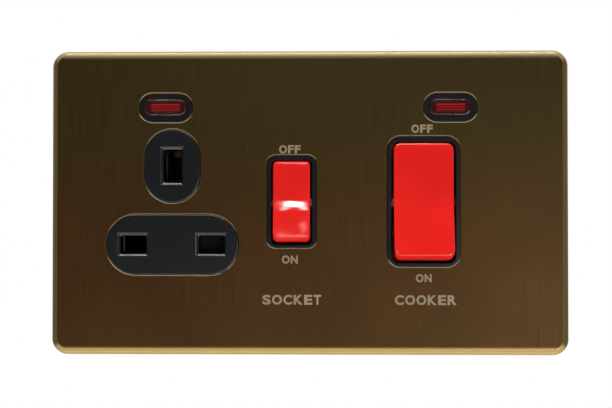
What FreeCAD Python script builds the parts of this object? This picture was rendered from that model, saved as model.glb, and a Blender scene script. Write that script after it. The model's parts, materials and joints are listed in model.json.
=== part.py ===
import FreeCAD, Part
import math
import os

# Cooker control unit: a switched 13 A socket beside a double-pole cooker switch on one flat plate.
# Millimetres. X runs to the right seen from the front, Z up, and the front faces -Y.
# The origin is the middle of the unit on the wall plane, where the frame's rear rim stands (y = 0).

V = FreeCAD.Vector
X_AXIS = V(1, 0, 0)
Y_AXIS = V(0, 1, 0)
Z_AXIS = V(0, 0, 1)

# Cutters run past the faces they cut, and joined pieces reach into each other
OVERRUN = 1.0
LAP = 0.1

# Front plate
PLATE_WIDTH = 146.0
PLATE_HEIGHT = 86.0
PLATE_PROJECTION = 5.0
PLATE_SHEET = 1.2
PLATE_CORNER_RADIUS = 4.5
PLATE_EDGE_RADIUS = 2.2
PLATE_WALL_GAP = 0.3
PLATE_INNER_CORNER = 1.8
APERTURE_GAP = 0.12
CLIP_BEAD_HEIGHT = 0.5
CLIP_BEAD_LENGTH = 10.0
CLIP_BEAD_DEPTH = 1.2
CLIP_BEAD_SPREAD = 90.0
CLIP_BEAD_PLAY = 0.1
CLIP_BEAD_END_PLAY = 0.3
PRISE_NOTCH_WIDTH = 9.0
PRISE_NOTCH_HEIGHT = 1.2

# Front moulding: the frame behind the plate, with the switch and neon bezels
FRAME_PLAY = 0.15
PANEL = 2.0
PANEL_AIR = 0.2
FRAME_CORNER = 2.2
FRAME_RIM = 2.4
FIXING_CENTRES = 120.6
FIXING_SLOT_WIDTH = 4.0
FIXING_SLOT_LENGTH = 6.0
FIXING_HEAD_WIDTH = 7.4
FIXING_FLOOR = 1.8
FIXING_PAD_HEIGHT = 9.2
FIXING_PAD_MARGIN = 1.3
WINDOW_GAP = 0.15

# Socket: pins to the British standard spacing
SOCKET_X = -38.6
LIVE_PIN_Z = -11.9
PIN_PITCH = 22.2
EARTH_RISE = 22.2
LIVE_PIN_LENGTH = 17.7
EARTH_PIN_LENGTH = 22.7
PIN_THICKNESS = 4.0
LIVE_SLOT_WIDTH = 7.0
LIVE_SLOT_HEIGHT = 4.7
EARTH_SLOT_WIDTH = 4.8
EARTH_SLOT_HEIGHT = 9.0
SLOT_LEAD_IN = 0.8
LIVE_INSERT_WIDTH = 37.4
LIVE_INSERT_HEIGHT = 16.9
EARTH_INSERT_WIDTH = 15.7
EARTH_INSERT_HEIGHT = 20.7
INSERT_PROUD = 0.4
FACE_BACK_SHEET = 1.8
FACE_LAP = 1.0
FACE_LEDGE = 1.6
FACE_SIDE_PLAY = 0.2

# Shutter over the line and neutral slots, pushed down by the earth pin
SHUTTER_SHEET = 1.6
SHUTTER_PLAY = 0.2
SHUTTER_TRAVEL = 5.4
SHUTTER_COVER = 0.5
SHUTTER_SIDE_COVER = 0.15
SHUTTER_END_ROOM = 0.6
SHUTTER_WAY = 12.0
SHUTTER_STEM_WIDTH = 7.2
SHUTTER_RAMP_DEPTH = 4.6
SHUTTER_RAMP_WIDTH = 3.8
SHUTTER_RAMP_BACK = 0.8
SHUTTER_RAMP_CLEARANCE = 0.1
SHUTTER_RAMP_ROOT = 3.0
SHUTTER_RAMP_WEB = 2.4
SHUTTER_RAMP_PLAY = 0.3
SHUTTER_STEM_STEP = 1.0
SHUTTER_BOSS_WIDTH = 4.4
SHUTTER_BOSS_HEIGHT = 1.6
SHUTTER_BOSS_PLAY = 0.3
SHUTTER_BOSS_ROOM = 0.6
SHUTTER_SPRING_SEAT_Z = -27.0
SHUTTER_SPRING_REACH = 1.3
SHUTTER_SPRING_SHEET = 0.3
SHUTTER_SPRING_WIDTH = 3.0
SHUTTER_SPRING_FOLDS = 6
SHUTTER_SPRING_PLAY = 0.4
SPRING_SEAT_WIDTH = 6.0
SPRING_SEAT_SHEET = 1.6

# Contact clips and busbars
CLIP_SHEET = 0.7
LIVE_CLIP_WIDTH = 5.6
EARTH_CLIP_WIDTH = 7.0
CLIP_GRIP = 0.5
CLIP_FLARE = 0.8
CLIP_BACK_FLARE = 0.5
CLIP_TIP_ROOM = 1.3
CLIP_SIDE_PLAY = 0.2
CLIP_END_PLAY = 0.4
LIVE_CLIP_DEPTH = 5.9
LIVE_GRIP_DEPTH = 2.0
LIVE_CLIP_ROOM = 7.0
EARTH_CLIP_DEPTH = 9.3
EARTH_GRIP_DEPTH = 2.2
EARTH_CLIP_ROOM = 7.4
BUSBAR_SHEET = 0.8
BUSBAR_WIDTH = 5.0
BUSBAR_PLAY = 0.15
TAIL_WIDTH = 4.0
TAIL_PLAY = 0.2
PAD_MARGIN = 1.0
STRAP_DROP = 1.2
STRAP_INSET = 0.8
STRAP_WIDTH = 4.0
STRAP_PLAY = 0.2
CROSS_BAR_LOW = -10.4
CROSS_BAR_HIGH = -6.4
LINK_WIDTH = 2.8
LINK_DROP = 2.1
LINK_SETBACK = 2.8
LINE_RISER_X = -15.9

# Rear mouldings
BASE_HALF_WIDTH = 55.2
BASE_HEIGHT = 64.0
BASE_SPLIT_X = -21.0
BASE_SPLIT_GAP = 0.4
BASE_WALL = 1.6
BASE_REAR = 19.0
BASE_FLOOR = 1.8
BASE_CORNER = 1.2
SOCKET_BLOCK_REAR = 21.5
SOCKET_BLOCK_TOP = 19.5
SOCKET_BLOCK_BOTTOM = -18.6
SOCKET_BLOCK_INSET = 1.0
FACE_REST_RISE = 2.0
RAMP_WELL_RISE = 3.4
POLE_BARRIER = 1.4
POLE_BARRIER_FRONT = 6.0
POLE_BARRIER_HALF = 12.6
POCKET_WALL = 1.2

# Screws that hold the rear mouldings to the frame
SCREW_RADIUS = 1.3
SCREW_HEAD_RADIUS = 2.7
SCREW_HEAD_HEIGHT = 1.6
SCREW_COLUMN_WIDTH = 6.4
SCREW_BOSS_WIDTH = 5.2
SCREW_BOSS_END = 4.0
SCREW_TIP = -0.8
SCREW_INSET = 4.8
SCREW_GRIP = 0.05
SCREW_CLEARANCE = 0.2
SCREW_TIP_ROOM = 0.3
SCREW_HEAD_SINK = 0.3
SCREW_HEAD_PLAY = 0.3
SCREW_SLOT_WIDTH = 0.8
SCREW_SLOT_DEPTH = 0.8
SCREW_SIDES = 6
SCREW_HEAD_SIDES = 10

# Cable terminals
TERMINAL_WIDTH = 9.0
TERMINAL_HEIGHT = 10.0
TERMINAL_INNER_Z = 19.5
TERMINAL_FRONT = 8.2
TERMINAL_REAR = 17.2
CABLE_WAY = 5.2
CABLE_WAY_Y = 11.4
TERMINAL_SCREW_RADIUS = 1.9
TERMINAL_HEAD_RADIUS = 2.8
TERMINAL_HEAD_HEIGHT = 1.4
TERMINAL_HEAD_SIDES = 8
TERMINAL_SLOT_WIDTH = 1.0
TERMINAL_SCREW_ROOM = 0.3
EARTH_TERMINAL_X = 8.0
POCKET_PLAY = 0.4
POCKET_NEAR_PLAY = 0.2

# Switch mechanism shared by both switches
ROCKER_TILT = 7.0
PIVOT_Y = -1.0
VALLEY_DEPTH = 4.9
VALLEY_BLEND = 26.0
ROCKER_SKIRT = 2.0
ROCKER_WALL = 1.5
ROCKER_NOSE = 0.9
ROCKER_GAP = 0.35
ROCKER_ROOF = 2.2
ROCKER_END_WALL = 2.6
BEZEL_PROUD = 0.3
BEZEL_RISE = 0.3
TRUNNION_RADIUS = 1.5
TRUNNION_LENGTH = 1.5
TRUNNION_PLAY = 0.08
TRUNNION_END_PLAY = 0.3
WELL_WALL = 2.3
WELL_END_WALL = 1.5
WELL_END = 1.5
PLUNGER_WIDTH = 3.2
PLUNGER_PLAY = 0.1
PLUNGER_START = 1.6
TUBE_WIDTH = 5.2
TUBE_END = 4.0
BORE_DEPTH = 3.3
SPRING_WIRE = 0.4
SPRING_TURNS = 2
SPRING_CHORDS = 6
SEESAW_TOP = 2.0
SEESAW_SHEET = 1.4
SEESAW_WIDTH = 5.0
SEESAW_HUB = 1.8
FULCRUM_RADIUS = 0.8
FULCRUM_PLAY = 0.05
FULCRUM_HEIGHT = 2.2
FULCRUM_TOE = 1.2
CENTRE_GAP = 0.08
TIP_WIDTH = 3.2
PAD_DROP = 1.7

# Socket switch
SMALL_X = -4.9
SMALL_BEZEL_WIDTH = 13.9
SMALL_BEZEL_HEIGHT = 26.0
SMALL_BEZEL_CORNER = 2.6
SMALL_OPENING_WIDTH = 11.4
SMALL_OPENING_CORNER = 0.8
SMALL_ROCKER_WIDTH = 10.4
SMALL_END_RADIUS = 12.3
SMALL_CORNER = 1.7
SMALL_SEESAW_HALF = 8.6
SMALL_TIP_Z = 7.0
SMALL_TIP_DROP = 0.5

# Cooker switch
LARGE_X = 32.2
LARGE_BEZEL_WIDTH = 20.4
LARGE_BEZEL_HEIGHT = 36.6
LARGE_BEZEL_CORNER = 3.8
LARGE_OPENING_WIDTH = 18.0
LARGE_OPENING_CORNER = 1.2
LARGE_ROCKER_WIDTH = 16.8
LARGE_END_RADIUS = 17.2
LARGE_CORNER = 2.6
LARGE_SEESAW_HALF = 11.0
LARGE_TIP_Z = 9.4
LARGE_TIP_DROP = 0.2
POLE_OFFSET = 5.5

# Neon indicators
NEON_Z = 26.8
SOCKET_NEON_X = -40.5
COOKER_NEON_X = 39.8
NEON_BEZEL_WIDTH = 15.2
NEON_BEZEL_HEIGHT = 8.0
NEON_BEZEL_PROUD = 0.15
LENS_WIDTH = 12.1
LENS_HEIGHT = 4.7
LENS_PROUD = 0.45
LENS_GAP = 0.06
LENS_FLANGE = 1.0
LENS_FLANGE_SHEET = 1.2
LENS_RIB_WIDTH = 8.1
LENS_RIB_PITCH = 1.0
LENS_RIB_SHEET = 0.44
LENS_RIB_DEPTH = 0.6
LENS_SKIN = 1.1
LAMP_RADIUS = 2.3
LAMP_LENGTH = 9.0
LAMP_Y = 2.8
RESISTOR_RADIUS = 1.1
RESISTOR_LENGTH = 5.6
LEAD_WIDTH = 0.6
LEAD_PITCH = 1.8
LAMP_LEAD_LENGTH = 1.6
RESISTOR_LEAD_LENGTH = 0.8
LEAD_JOINT_GAP = 0.1
LAMP_SIDES = 8
LAMP_SEAT_GAP = 0.1
LAMP_POST_SPREAD = 5.6
LAMP_POST_WIDTH = 1.2
LAMP_POST_HEIGHT = 2.8

# Leaf spring that earths the plate
LEAF_SHEET = 0.4
LEAF_WIDTH = 4.0
LEAF_X = -9.0
LEAF_Z = 22.5
LEAF_FOOT = 6.0
LEAF_GAP = 0.05
LEAF_BEND_DEPTH = 1.4
LEAF_TIP_REACH = 2.2
LEAF_END_REACH = 4.6
LEAF_END_DEPTH = 0.7
LEAF_WINDOW_PLAY = 1.0
LEAF_WINDOW_SIDE_PLAY = 0.5

# Levels that follow from the sizes above
plate_front = -PLATE_PROJECTION
plate_back = plate_front + PLATE_SHEET
panel_front = plate_back + PANEL_AIR
panel_back = panel_front + PANEL
frame_width = PLATE_WIDTH - 2 * (PLATE_SHEET + FRAME_PLAY)
frame_height = PLATE_HEIGHT - 2 * (PLATE_SHEET + FRAME_PLAY)
insert_front = plate_front - INSERT_PROUD
bezel_front = plate_front - BEZEL_PROUD
neon_front = plate_front - NEON_BEZEL_PROUD
neutral_x = SOCKET_X - PIN_PITCH / 2
line_x = SOCKET_X + PIN_PITCH / 2
earth_z = LIVE_PIN_Z + EARTH_RISE
face_back = panel_back + FACE_BACK_SHEET
face_low = LIVE_PIN_Z - LIVE_INSERT_HEIGHT / 2 - FACE_LAP
face_high = earth_z + EARTH_INSERT_HEIGHT / 2 + FACE_LAP
shutter_front = face_back + SHUTTER_PLAY
shutter_back = shutter_front + SHUTTER_SHEET
deck_front = shutter_back + SHUTTER_PLAY
live_tip = insert_front + LIVE_PIN_LENGTH
earth_tip = insert_front + EARTH_PIN_LENGTH
live_clip_mouth = live_tip - LIVE_CLIP_DEPTH
live_clip_back = live_tip + CLIP_TIP_ROOM
earth_clip_mouth = earth_tip - EARTH_CLIP_DEPTH
earth_clip_back = earth_tip + CLIP_TIP_ROOM
pad_front = live_clip_back - CLIP_SHEET / 2
fulcrum_y = pad_front - PAD_DROP
bar_front = fulcrum_y + FULCRUM_HEIGHT
bar_back = bar_front + BUSBAR_SHEET
pad_back = pad_front + BUSBAR_SHEET
strap_back = bar_back + STRAP_DROP
strap_front = strap_back - BUSBAR_SHEET
floor_y = BASE_REAR - BASE_FLOOR
base_left = -BASE_HALF_WIDTH
base_right = BASE_HALF_WIDTH
socket_base_right = BASE_SPLIT_X - BASE_SPLIT_GAP / 2
switch_base_left = BASE_SPLIT_X + BASE_SPLIT_GAP / 2
base_inner_z = BASE_HEIGHT / 2 - BASE_WALL
ramp_start_z = earth_z - EARTH_SLOT_HEIGHT / 2 - SHUTTER_RAMP_CLEARANCE
ramp_end_y = shutter_front + SHUTTER_RAMP_DEPTH
spring_y = shutter_back + SHUTTER_SPRING_REACH
shutter_bottom = LIVE_PIN_Z - LIVE_SLOT_HEIGHT / 2 - SHUTTER_COVER
shutter_top = LIVE_PIN_Z + LIVE_SLOT_HEIGHT / 2 + SHUTTER_COVER
link_z = LIVE_PIN_Z - PIN_THICKNESS / 2 - LINK_DROP
link_front = live_clip_mouth + LINK_SETBACK
link_back = link_front + BUSBAR_SHEET
line_pole_x = LARGE_X - POLE_OFFSET
neutral_pole_x = LARGE_X + POLE_OFFSET
terminal_outer_z = TERMINAL_INNER_Z + TERMINAL_HEIGHT
strap_low = TERMINAL_INNER_Z + STRAP_INSET
strap_high = strap_low + STRAP_WIDTH
screw_z = BASE_HEIGHT / 2 - SCREW_INSET
screw_head_end = BASE_REAR - SCREW_HEAD_SINK
screw_head_start = screw_head_end - SCREW_HEAD_HEIGHT
lamp_seat = LAMP_Y + LAMP_RADIUS + LAMP_SEAT_GAP
fulcrum_toe = FULCRUM_RADIUS + FULCRUM_TOE
pad_low = LARGE_TIP_Z - TIP_WIDTH / 2 - PAD_MARGIN
screw_places = [
    (base_left + SCREW_INSET, screw_z),
    (socket_base_right - SCREW_INSET, -screw_z),
    (switch_base_left + SCREW_INSET, -screw_z),
    (base_right - SCREW_INSET, screw_z),
]


def box(x0, x1, y0, y1, z0, z1):
    return Part.makeBox(x1 - x0, y1 - y0, z1 - z0, V(x0, y0, z0))


def square_post(x, z, width, y0, y1):
    half = width / 2
    return box(x - half, x + half, y0, y1, z - half, z + half)


def many_sided(start, direction, radius, length, sides):
    """Prism with many flats, for small round pieces that few people see close to."""
    turn = FreeCAD.Rotation(Z_AXIS, direction)
    step = 2 * math.pi / sides
    points = [
        start + turn.multVec(V(radius * math.cos(n * step), radius * math.sin(n * step), 0))
        for n in range(sides)
    ]
    return Part.Face(Part.makePolygon(points + points[:1])).extrude(direction * length)


def pillar(x, z, radius, y0, y1, sides):
    return many_sided(V(x, y0, z), Y_AXIS, radius, y1 - y0, sides)


def axle(y, z, radius, x0, x1):
    return Part.makeCylinder(radius, x1 - x0, V(x0, y, z), X_AXIS)


def union(shapes):
    first = shapes[0]
    return first.fuse(shapes[1:]).removeSplitter() if len(shapes) > 1 else first


def without(shape, cutters):
    return shape.cut(cutters).removeSplitter()


def cut_corner_prism(x, z, width, height, corner, y0, y1):
    """Rectangular prism along Y with its four long corners cut straight."""
    block = box(x - width / 2, x + width / 2, y0, y1, z - height / 2, z + height / 2)
    long_edges = [
        edge for edge in block.Edges
        if edge.BoundBox.XLength < 1e-6 and edge.BoundBox.ZLength < 1e-6
    ]
    return block.makeChamfer(corner, long_edges)


def rounded_outline(x, z, width, height, radius, y):
    """Closed wire of a rounded rectangle in the plane at depth y."""
    radius = min(radius, width / 2, height / 2)
    left, right = x - width / 2, x + width / 2
    low, high = z - height / 2, z + height / 2
    slant = radius * (1 - math.sqrt(0.5))
    corners = [
        (V(right - radius, y, low), V(right - slant, y, low + slant), V(right, y, low + radius)),
        (V(right, y, high - radius), V(right - slant, y, high - slant), V(right - radius, y, high)),
        (V(left + radius, y, high), V(left + slant, y, high - slant), V(left, y, high - radius)),
        (V(left, y, low + radius), V(left + slant, y, low + slant), V(left + radius, y, low)),
    ]
    edges = []
    for number, (start, middle, end) in enumerate(corners):
        edges.append(Part.Arc(start, middle, end).toShape())
        following = corners[(number + 1) % 4][0]
        if end.distanceToPoint(following) > 1e-6:
            edges.append(Part.LineSegment(end, following).toShape())
    return Part.Wire(edges)


def rounded_prism(x, z, width, height, radius, y0, y1):
    outline = rounded_outline(x, z, width, height, radius, y0)
    return Part.Face(outline).extrude(V(0, y1 - y0, 0))


def obround(x, z, width, height, y0, y1):
    return rounded_prism(x, z, width, height, min(width, height) / 2, y0, y1)


def funnel(x, z, width, height, spread, y0, y1):
    """Lead-in of a rectangular slot: wider by the spread at y0, the slot's own size at y1."""
    left, right = x - width / 2, x + width / 2
    low, high = z - height / 2, z + height / 2
    return Part.makeWedge(
        left - spread, y0, low - spread, low, left,
        right + spread, y1, high + spread, high, right,
    )


def prism_x(points, x0, x1):
    """Solid of a (y, z) outline between two x."""
    corners = [V(x0, y, z) for y, z in points]
    return Part.Face(Part.makePolygon(corners + corners[:1])).extrude(V(x1 - x0, 0, 0))


def prism_z(points, z0, z1):
    """Solid of an (x, y) outline between two z."""
    corners = [V(x, y, z0) for x, y in points]
    return Part.Face(Part.makePolygon(corners + corners[:1])).extrude(V(0, 0, z1 - z0))


def ribbon(points, thickness):
    """Outline of a bent strip that follows a line of points, with mitred bends."""
    left, right = [], []
    last = len(points) - 1
    for number, (a, b) in enumerate(points):
        before = points[max(number - 1, 0)]
        after = points[min(number + 1, last)]
        normals = []
        for start, end in ((before, (a, b)), ((a, b), after)):
            da, db = end[0] - start[0], end[1] - start[1]
            length = math.hypot(da, db)
            if length > 1e-9:
                normals.append((-db / length, da / length))
        na = sum(normal[0] for normal in normals) / len(normals)
        nb = sum(normal[1] for normal in normals) / len(normals)
        scale = thickness / 2 / (na * na + nb * nb)
        left.append((a + na * scale, b + nb * scale))
        right.append((a - na * scale, b - nb * scale))
    return left + right[::-1]


def edges_at(shape, y, half_width, half_height):
    """Edges that lie in the plane at depth y, inside the given half sizes."""
    found = []
    for edge in shape.Edges:
        limits = edge.BoundBox
        flat = abs(limits.YMin - y) < 1e-4 and abs(limits.YMax - y) < 1e-4
        inside_x = max(abs(limits.XMin), abs(limits.XMax)) < half_width
        inside_z = max(abs(limits.ZMin), abs(limits.ZMax)) < half_height
        if flat and inside_x and inside_z:
            found.append(edge)
    return found


def coil(radius, wire, length, turns, start, direction):
    """Square-wire compression spring of a few flat chords a turn, from a start point along a direction."""
    half = wire / 2
    rise = length - wire
    steps = int(turns * SPRING_CHORDS)
    turn = FreeCAD.Rotation(Z_AXIS, direction)
    sections = []
    for step in range(steps + 1):
        angle = step * 2 * math.pi / SPRING_CHORDS
        height = half + rise * step / steps
        corners = [
            V((radius + out) * math.cos(angle), (radius + out) * math.sin(angle), height + up)
            for out, up in ((-half, -half), (half, -half), (half, half), (-half, half))
        ]
        sections.append([start + turn.multVec(corner) for corner in corners])
    outlines = [sections[0], sections[-1]]
    for near, far in zip(sections, sections[1:]):
        for corner in range(4):
            following = (corner + 1) % 4
            outlines.append([near[corner], near[following], far[following]])
            outlines.append([near[corner], far[following], far[corner]])
    faces = [Part.Face(Part.makePolygon(outline + outline[:1])) for outline in outlines]
    shell = Part.makeShell(faces)
    shell.sewShape()
    return Part.makeSolid(shell)


def plate_apertures():
    """Cutters through the plate for everything that shows at its front."""
    grow = 2 * APERTURE_GAP
    sizes = [
        (SOCKET_X, earth_z, EARTH_INSERT_WIDTH, EARTH_INSERT_HEIGHT, EARTH_INSERT_WIDTH / 2),
        (SOCKET_X, LIVE_PIN_Z, LIVE_INSERT_WIDTH, LIVE_INSERT_HEIGHT, LIVE_INSERT_HEIGHT / 2),
        (SMALL_X, BEZEL_RISE, SMALL_BEZEL_WIDTH, SMALL_BEZEL_HEIGHT, SMALL_BEZEL_CORNER),
        (LARGE_X, BEZEL_RISE, LARGE_BEZEL_WIDTH, LARGE_BEZEL_HEIGHT, LARGE_BEZEL_CORNER),
        (SOCKET_NEON_X, NEON_Z, NEON_BEZEL_WIDTH, NEON_BEZEL_HEIGHT, NEON_BEZEL_HEIGHT / 2),
        (COOKER_NEON_X, NEON_Z, NEON_BEZEL_WIDTH, NEON_BEZEL_HEIGHT, NEON_BEZEL_HEIGHT / 2),
    ]
    return [
        rounded_prism(
            x, z, width + grow, height + grow, radius + APERTURE_GAP,
            plate_front - OVERRUN, plate_back + OVERRUN,
        )
        for x, z, width, height, radius in sizes
    ]


def clip_beads(height, length):
    """Ridges along the inside of the skirt that snap over the frame, or the grooves that take them."""
    root = PLATE_SHEET / 2
    top = PLATE_HEIGHT / 2 - PLATE_SHEET
    front, back = -CLIP_BEAD_DEPTH - height, -CLIP_BEAD_DEPTH + height
    beads = []
    ridge = [
        (front, top), (-CLIP_BEAD_DEPTH, top - height), (back, top), (back, top + root), (front, top + root),
    ]
    for way in (-1, 1):
        for x in (-CLIP_BEAD_SPREAD / 2, CLIP_BEAD_SPREAD / 2):
            beads.append(prism_x([(y, way * z) for y, z in ridge], x - length / 2, x + length / 2))
    return beads


def front_plate():
    skirt_end = -PLATE_WALL_GAP
    body = rounded_prism(0, 0, PLATE_WIDTH, PLATE_HEIGHT, PLATE_CORNER_RADIUS, plate_front, skirt_end)
    rim = edges_at(body, plate_front, PLATE_WIDTH, PLATE_HEIGHT)
    body = body.makeFillet(PLATE_EDGE_RADIUS, rim)
    side = PLATE_WIDTH / 2 - PLATE_SHEET
    top = PLATE_HEIGHT / 2 - PLATE_SHEET
    hollow = cut_corner_prism(0, 0, 2 * side, 2 * top, PLATE_INNER_CORNER, plate_back, skirt_end + OVERRUN)
    notch = box(
        -PRISE_NOTCH_WIDTH / 2, PRISE_NOTCH_WIDTH / 2,
        skirt_end - PRISE_NOTCH_HEIGHT, skirt_end + OVERRUN,
        -PLATE_HEIGHT / 2 - OVERRUN, -PLATE_HEIGHT / 2 + PLATE_SHEET + LAP,
    )
    plate = body.cut([hollow] + plate_apertures())
    return plate.fuse(clip_beads(CLIP_BEAD_HEIGHT, CLIP_BEAD_LENGTH)).cut(notch).removeSplitter()


def rocker_well(x, opening, end_radius, corner):
    """Space the rocker swings in, with ends struck about its pivot and the corners of its mouth cut."""
    reach = end_radius + ROCKER_GAP
    mouth = math.sqrt(reach ** 2 - (PIVOT_Y - bezel_front) ** 2)
    swing = axle(PIVOT_Y, 0, reach, x - opening / 2, x + opening / 2)
    front, back = bezel_front - OVERRUN, WELL_END + OVERRUN
    return swing.common(cut_corner_prism(x, 0, opening, 2 * reach, corner + reach - mouth, front, back))


def trunnion_seats(x, opening):
    """Bearing pockets, round at the pivot and open to the rear."""
    radius = TRUNNION_RADIUS + TRUNNION_PLAY
    reach = opening / 2 + TRUNNION_LENGTH
    round_end = axle(PIVOT_Y, 0, radius, x - reach, x + reach)
    way_in = box(x - reach, x + reach, PIVOT_Y, WELL_END + OVERRUN, -radius, radius)
    return [round_end, way_in]


def front_moulding():
    slab = cut_corner_prism(0, 0, frame_width, frame_height, FRAME_CORNER, panel_front, 0)
    inside_width = frame_width - 2 * FRAME_RIM
    inside_height = frame_height - 2 * FRAME_RIM
    inside = box(
        -inside_width / 2, inside_width / 2, panel_back, OVERRUN, -inside_height / 2, inside_height / 2
    )
    solids = [slab.cut(inside)]
    for side in (-1, 1):
        inner = side * (FIXING_CENTRES / 2 - FIXING_SLOT_LENGTH / 2 - FIXING_PAD_MARGIN)
        outer = side * (frame_width / 2 - FRAME_RIM / 2)
        half = FIXING_PAD_HEIGHT / 2
        solids.append(box(min(inner, outer), max(inner, outer), panel_back - LAP, 0, -half, half))
    bezels = [
        (SMALL_X, BEZEL_RISE, SMALL_BEZEL_WIDTH, SMALL_BEZEL_HEIGHT, SMALL_BEZEL_CORNER, bezel_front),
        (LARGE_X, BEZEL_RISE, LARGE_BEZEL_WIDTH, LARGE_BEZEL_HEIGHT, LARGE_BEZEL_CORNER, bezel_front),
        (SOCKET_NEON_X, NEON_Z, NEON_BEZEL_WIDTH, NEON_BEZEL_HEIGHT, NEON_BEZEL_HEIGHT, neon_front),
        (COOKER_NEON_X, NEON_Z, NEON_BEZEL_WIDTH, NEON_BEZEL_HEIGHT, NEON_BEZEL_HEIGHT, neon_front),
    ]
    for x, z, width, height, corner, front in bezels:
        solids.append(rounded_prism(x, z, width, height, corner, front, panel_front + LAP))
    switches = [
        (SMALL_X, SMALL_OPENING_WIDTH, SMALL_END_RADIUS, SMALL_OPENING_CORNER),
        (LARGE_X, LARGE_OPENING_WIDTH, LARGE_END_RADIUS, LARGE_OPENING_CORNER),
    ]
    cutters = []
    for x, opening, end_radius, corner in switches:
        half_width = opening / 2 + WELL_WALL
        half_height = end_radius + ROCKER_GAP + WELL_END_WALL
        solids.append(
            box(x - half_width, x + half_width, panel_back - LAP, WELL_END, -half_height, half_height)
        )
        cutters.append(rocker_well(x, opening, end_radius, corner))
        cutters.extend(trunnion_seats(x, opening))
    for x, z in screw_places:
        solids.append(square_post(x, z, SCREW_BOSS_WIDTH, panel_back - LAP, SCREW_BOSS_END))
        hole_start, hole_end = SCREW_TIP - SCREW_TIP_ROOM, SCREW_BOSS_END + OVERRUN
        cutters.append(pillar(x, z, SCREW_RADIUS + SCREW_GRIP, hole_start, hole_end, SCREW_SIDES))
    for x in (SOCKET_NEON_X, COOKER_NEON_X):
        front, back = neon_front - OVERRUN, panel_back + OVERRUN
        cutters.append(obround(x, NEON_Z, LENS_WIDTH, LENS_HEIGHT, front, back))
    windows = [
        (earth_z, EARTH_INSERT_WIDTH / 2 + WINDOW_GAP, EARTH_INSERT_HEIGHT / 2 + WINDOW_GAP),
        (LIVE_PIN_Z, LIVE_INSERT_WIDTH / 2 + WINDOW_GAP, LIVE_INSERT_HEIGHT / 2 + WINDOW_GAP),
    ]
    front, back = panel_front - OVERRUN, panel_back + OVERRUN
    for z, half, rise in windows:
        cutters.append(box(SOCKET_X - half, SOCKET_X + half, front, back, z - rise, z + rise))
    head_length = FIXING_HEAD_WIDTH + FIXING_SLOT_LENGTH - FIXING_SLOT_WIDTH
    for x in (-FIXING_CENTRES / 2, FIXING_CENTRES / 2):
        cutters.append(obround(x, 0, FIXING_SLOT_LENGTH, FIXING_SLOT_WIDTH, front, OVERRUN))
        half_length, half_width = head_length / 2, FIXING_HEAD_WIDTH / 2
        cutters.append(box(x - half_length, x + half_length, front, -FIXING_FLOOR, -half_width, half_width))
    groove_length = CLIP_BEAD_LENGTH + 2 * CLIP_BEAD_END_PLAY
    cutters.extend(clip_beads(CLIP_BEAD_HEIGHT + CLIP_BEAD_PLAY, groove_length))
    leaf_half = LEAF_WIDTH / 2 + LEAF_WINDOW_SIDE_PLAY
    leaf_right = LEAF_X + LEAF_END_REACH + LEAF_WINDOW_PLAY
    cutters.append(
        box(LEAF_X - LEAF_WINDOW_PLAY, leaf_right, front, back, LEAF_Z - leaf_half, LEAF_Z + leaf_half)
    )
    return without(union(solids), cutters)


def socket_face():
    inner_left = base_left + BASE_WALL + FACE_SIDE_PLAY
    inner_right = socket_base_right - BASE_WALL - FACE_SIDE_PLAY
    back = box(inner_left, inner_right, panel_back, face_back, face_low, face_high)
    solids = [back]
    inserts = [
        (earth_z, EARTH_INSERT_WIDTH, EARTH_INSERT_HEIGHT),
        (LIVE_PIN_Z, LIVE_INSERT_WIDTH, LIVE_INSERT_HEIGHT),
    ]
    for z, width, height in inserts:
        solids.append(obround(SOCKET_X, z, width, height, insert_front, panel_back))
    cutters = []
    slots = [
        (neutral_x, LIVE_PIN_Z, LIVE_SLOT_WIDTH, LIVE_SLOT_HEIGHT),
        (line_x, LIVE_PIN_Z, LIVE_SLOT_WIDTH, LIVE_SLOT_HEIGHT),
        (SOCKET_X, earth_z, EARTH_SLOT_WIDTH, EARTH_SLOT_HEIGHT),
    ]
    for x, z, width, height in slots:
        cutters.append(
            box(
                x - width / 2, x + width / 2, insert_front - OVERRUN, face_back + OVERRUN,
                z - height / 2, z + height / 2,
            )
        )
        cutters.append(
            funnel(x, z, width, height, SLOT_LEAD_IN, insert_front, insert_front + SLOT_LEAD_IN)
        )
    return without(union(solids), cutters)


def shutter():
    half = PIN_PITCH / 2 + LIVE_SLOT_WIDTH / 2 + SHUTTER_SIDE_COVER
    bar = box(SOCKET_X - half, SOCKET_X + half, shutter_front, shutter_back, shutter_bottom, shutter_top)
    stem_half = SHUTTER_STEM_WIDTH / 2
    stem_top = ramp_start_z - SHUTTER_STEM_STEP
    stem = box(SOCKET_X - stem_half, SOCKET_X + stem_half, shutter_front, shutter_back, shutter_top, stem_top)
    ramp_top = ramp_start_z + SHUTTER_TRAVEL
    ramp_back = ramp_end_y + SHUTTER_RAMP_BACK
    profile = [
        (shutter_front, ramp_start_z - SHUTTER_RAMP_ROOT),
        (shutter_front, ramp_start_z),
        (ramp_end_y, ramp_top),
        (ramp_back, ramp_top),
        (ramp_back, ramp_top - SHUTTER_RAMP_WEB),
        (shutter_back, ramp_start_z - SHUTTER_RAMP_ROOT),
    ]
    ramp_half = SHUTTER_RAMP_WIDTH / 2
    ramp = prism_x(profile, SOCKET_X - ramp_half, SOCKET_X + ramp_half)
    boss_half = SHUTTER_BOSS_WIDTH / 2
    boss_back = spring_y + SHUTTER_SPRING_REACH + SHUTTER_SPRING_SHEET
    boss = box(
        SOCKET_X - boss_half, SOCKET_X + boss_half, shutter_front, boss_back,
        shutter_bottom, shutter_bottom + SHUTTER_BOSS_HEIGHT,
    )
    return union([bar, stem, ramp, boss])


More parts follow.
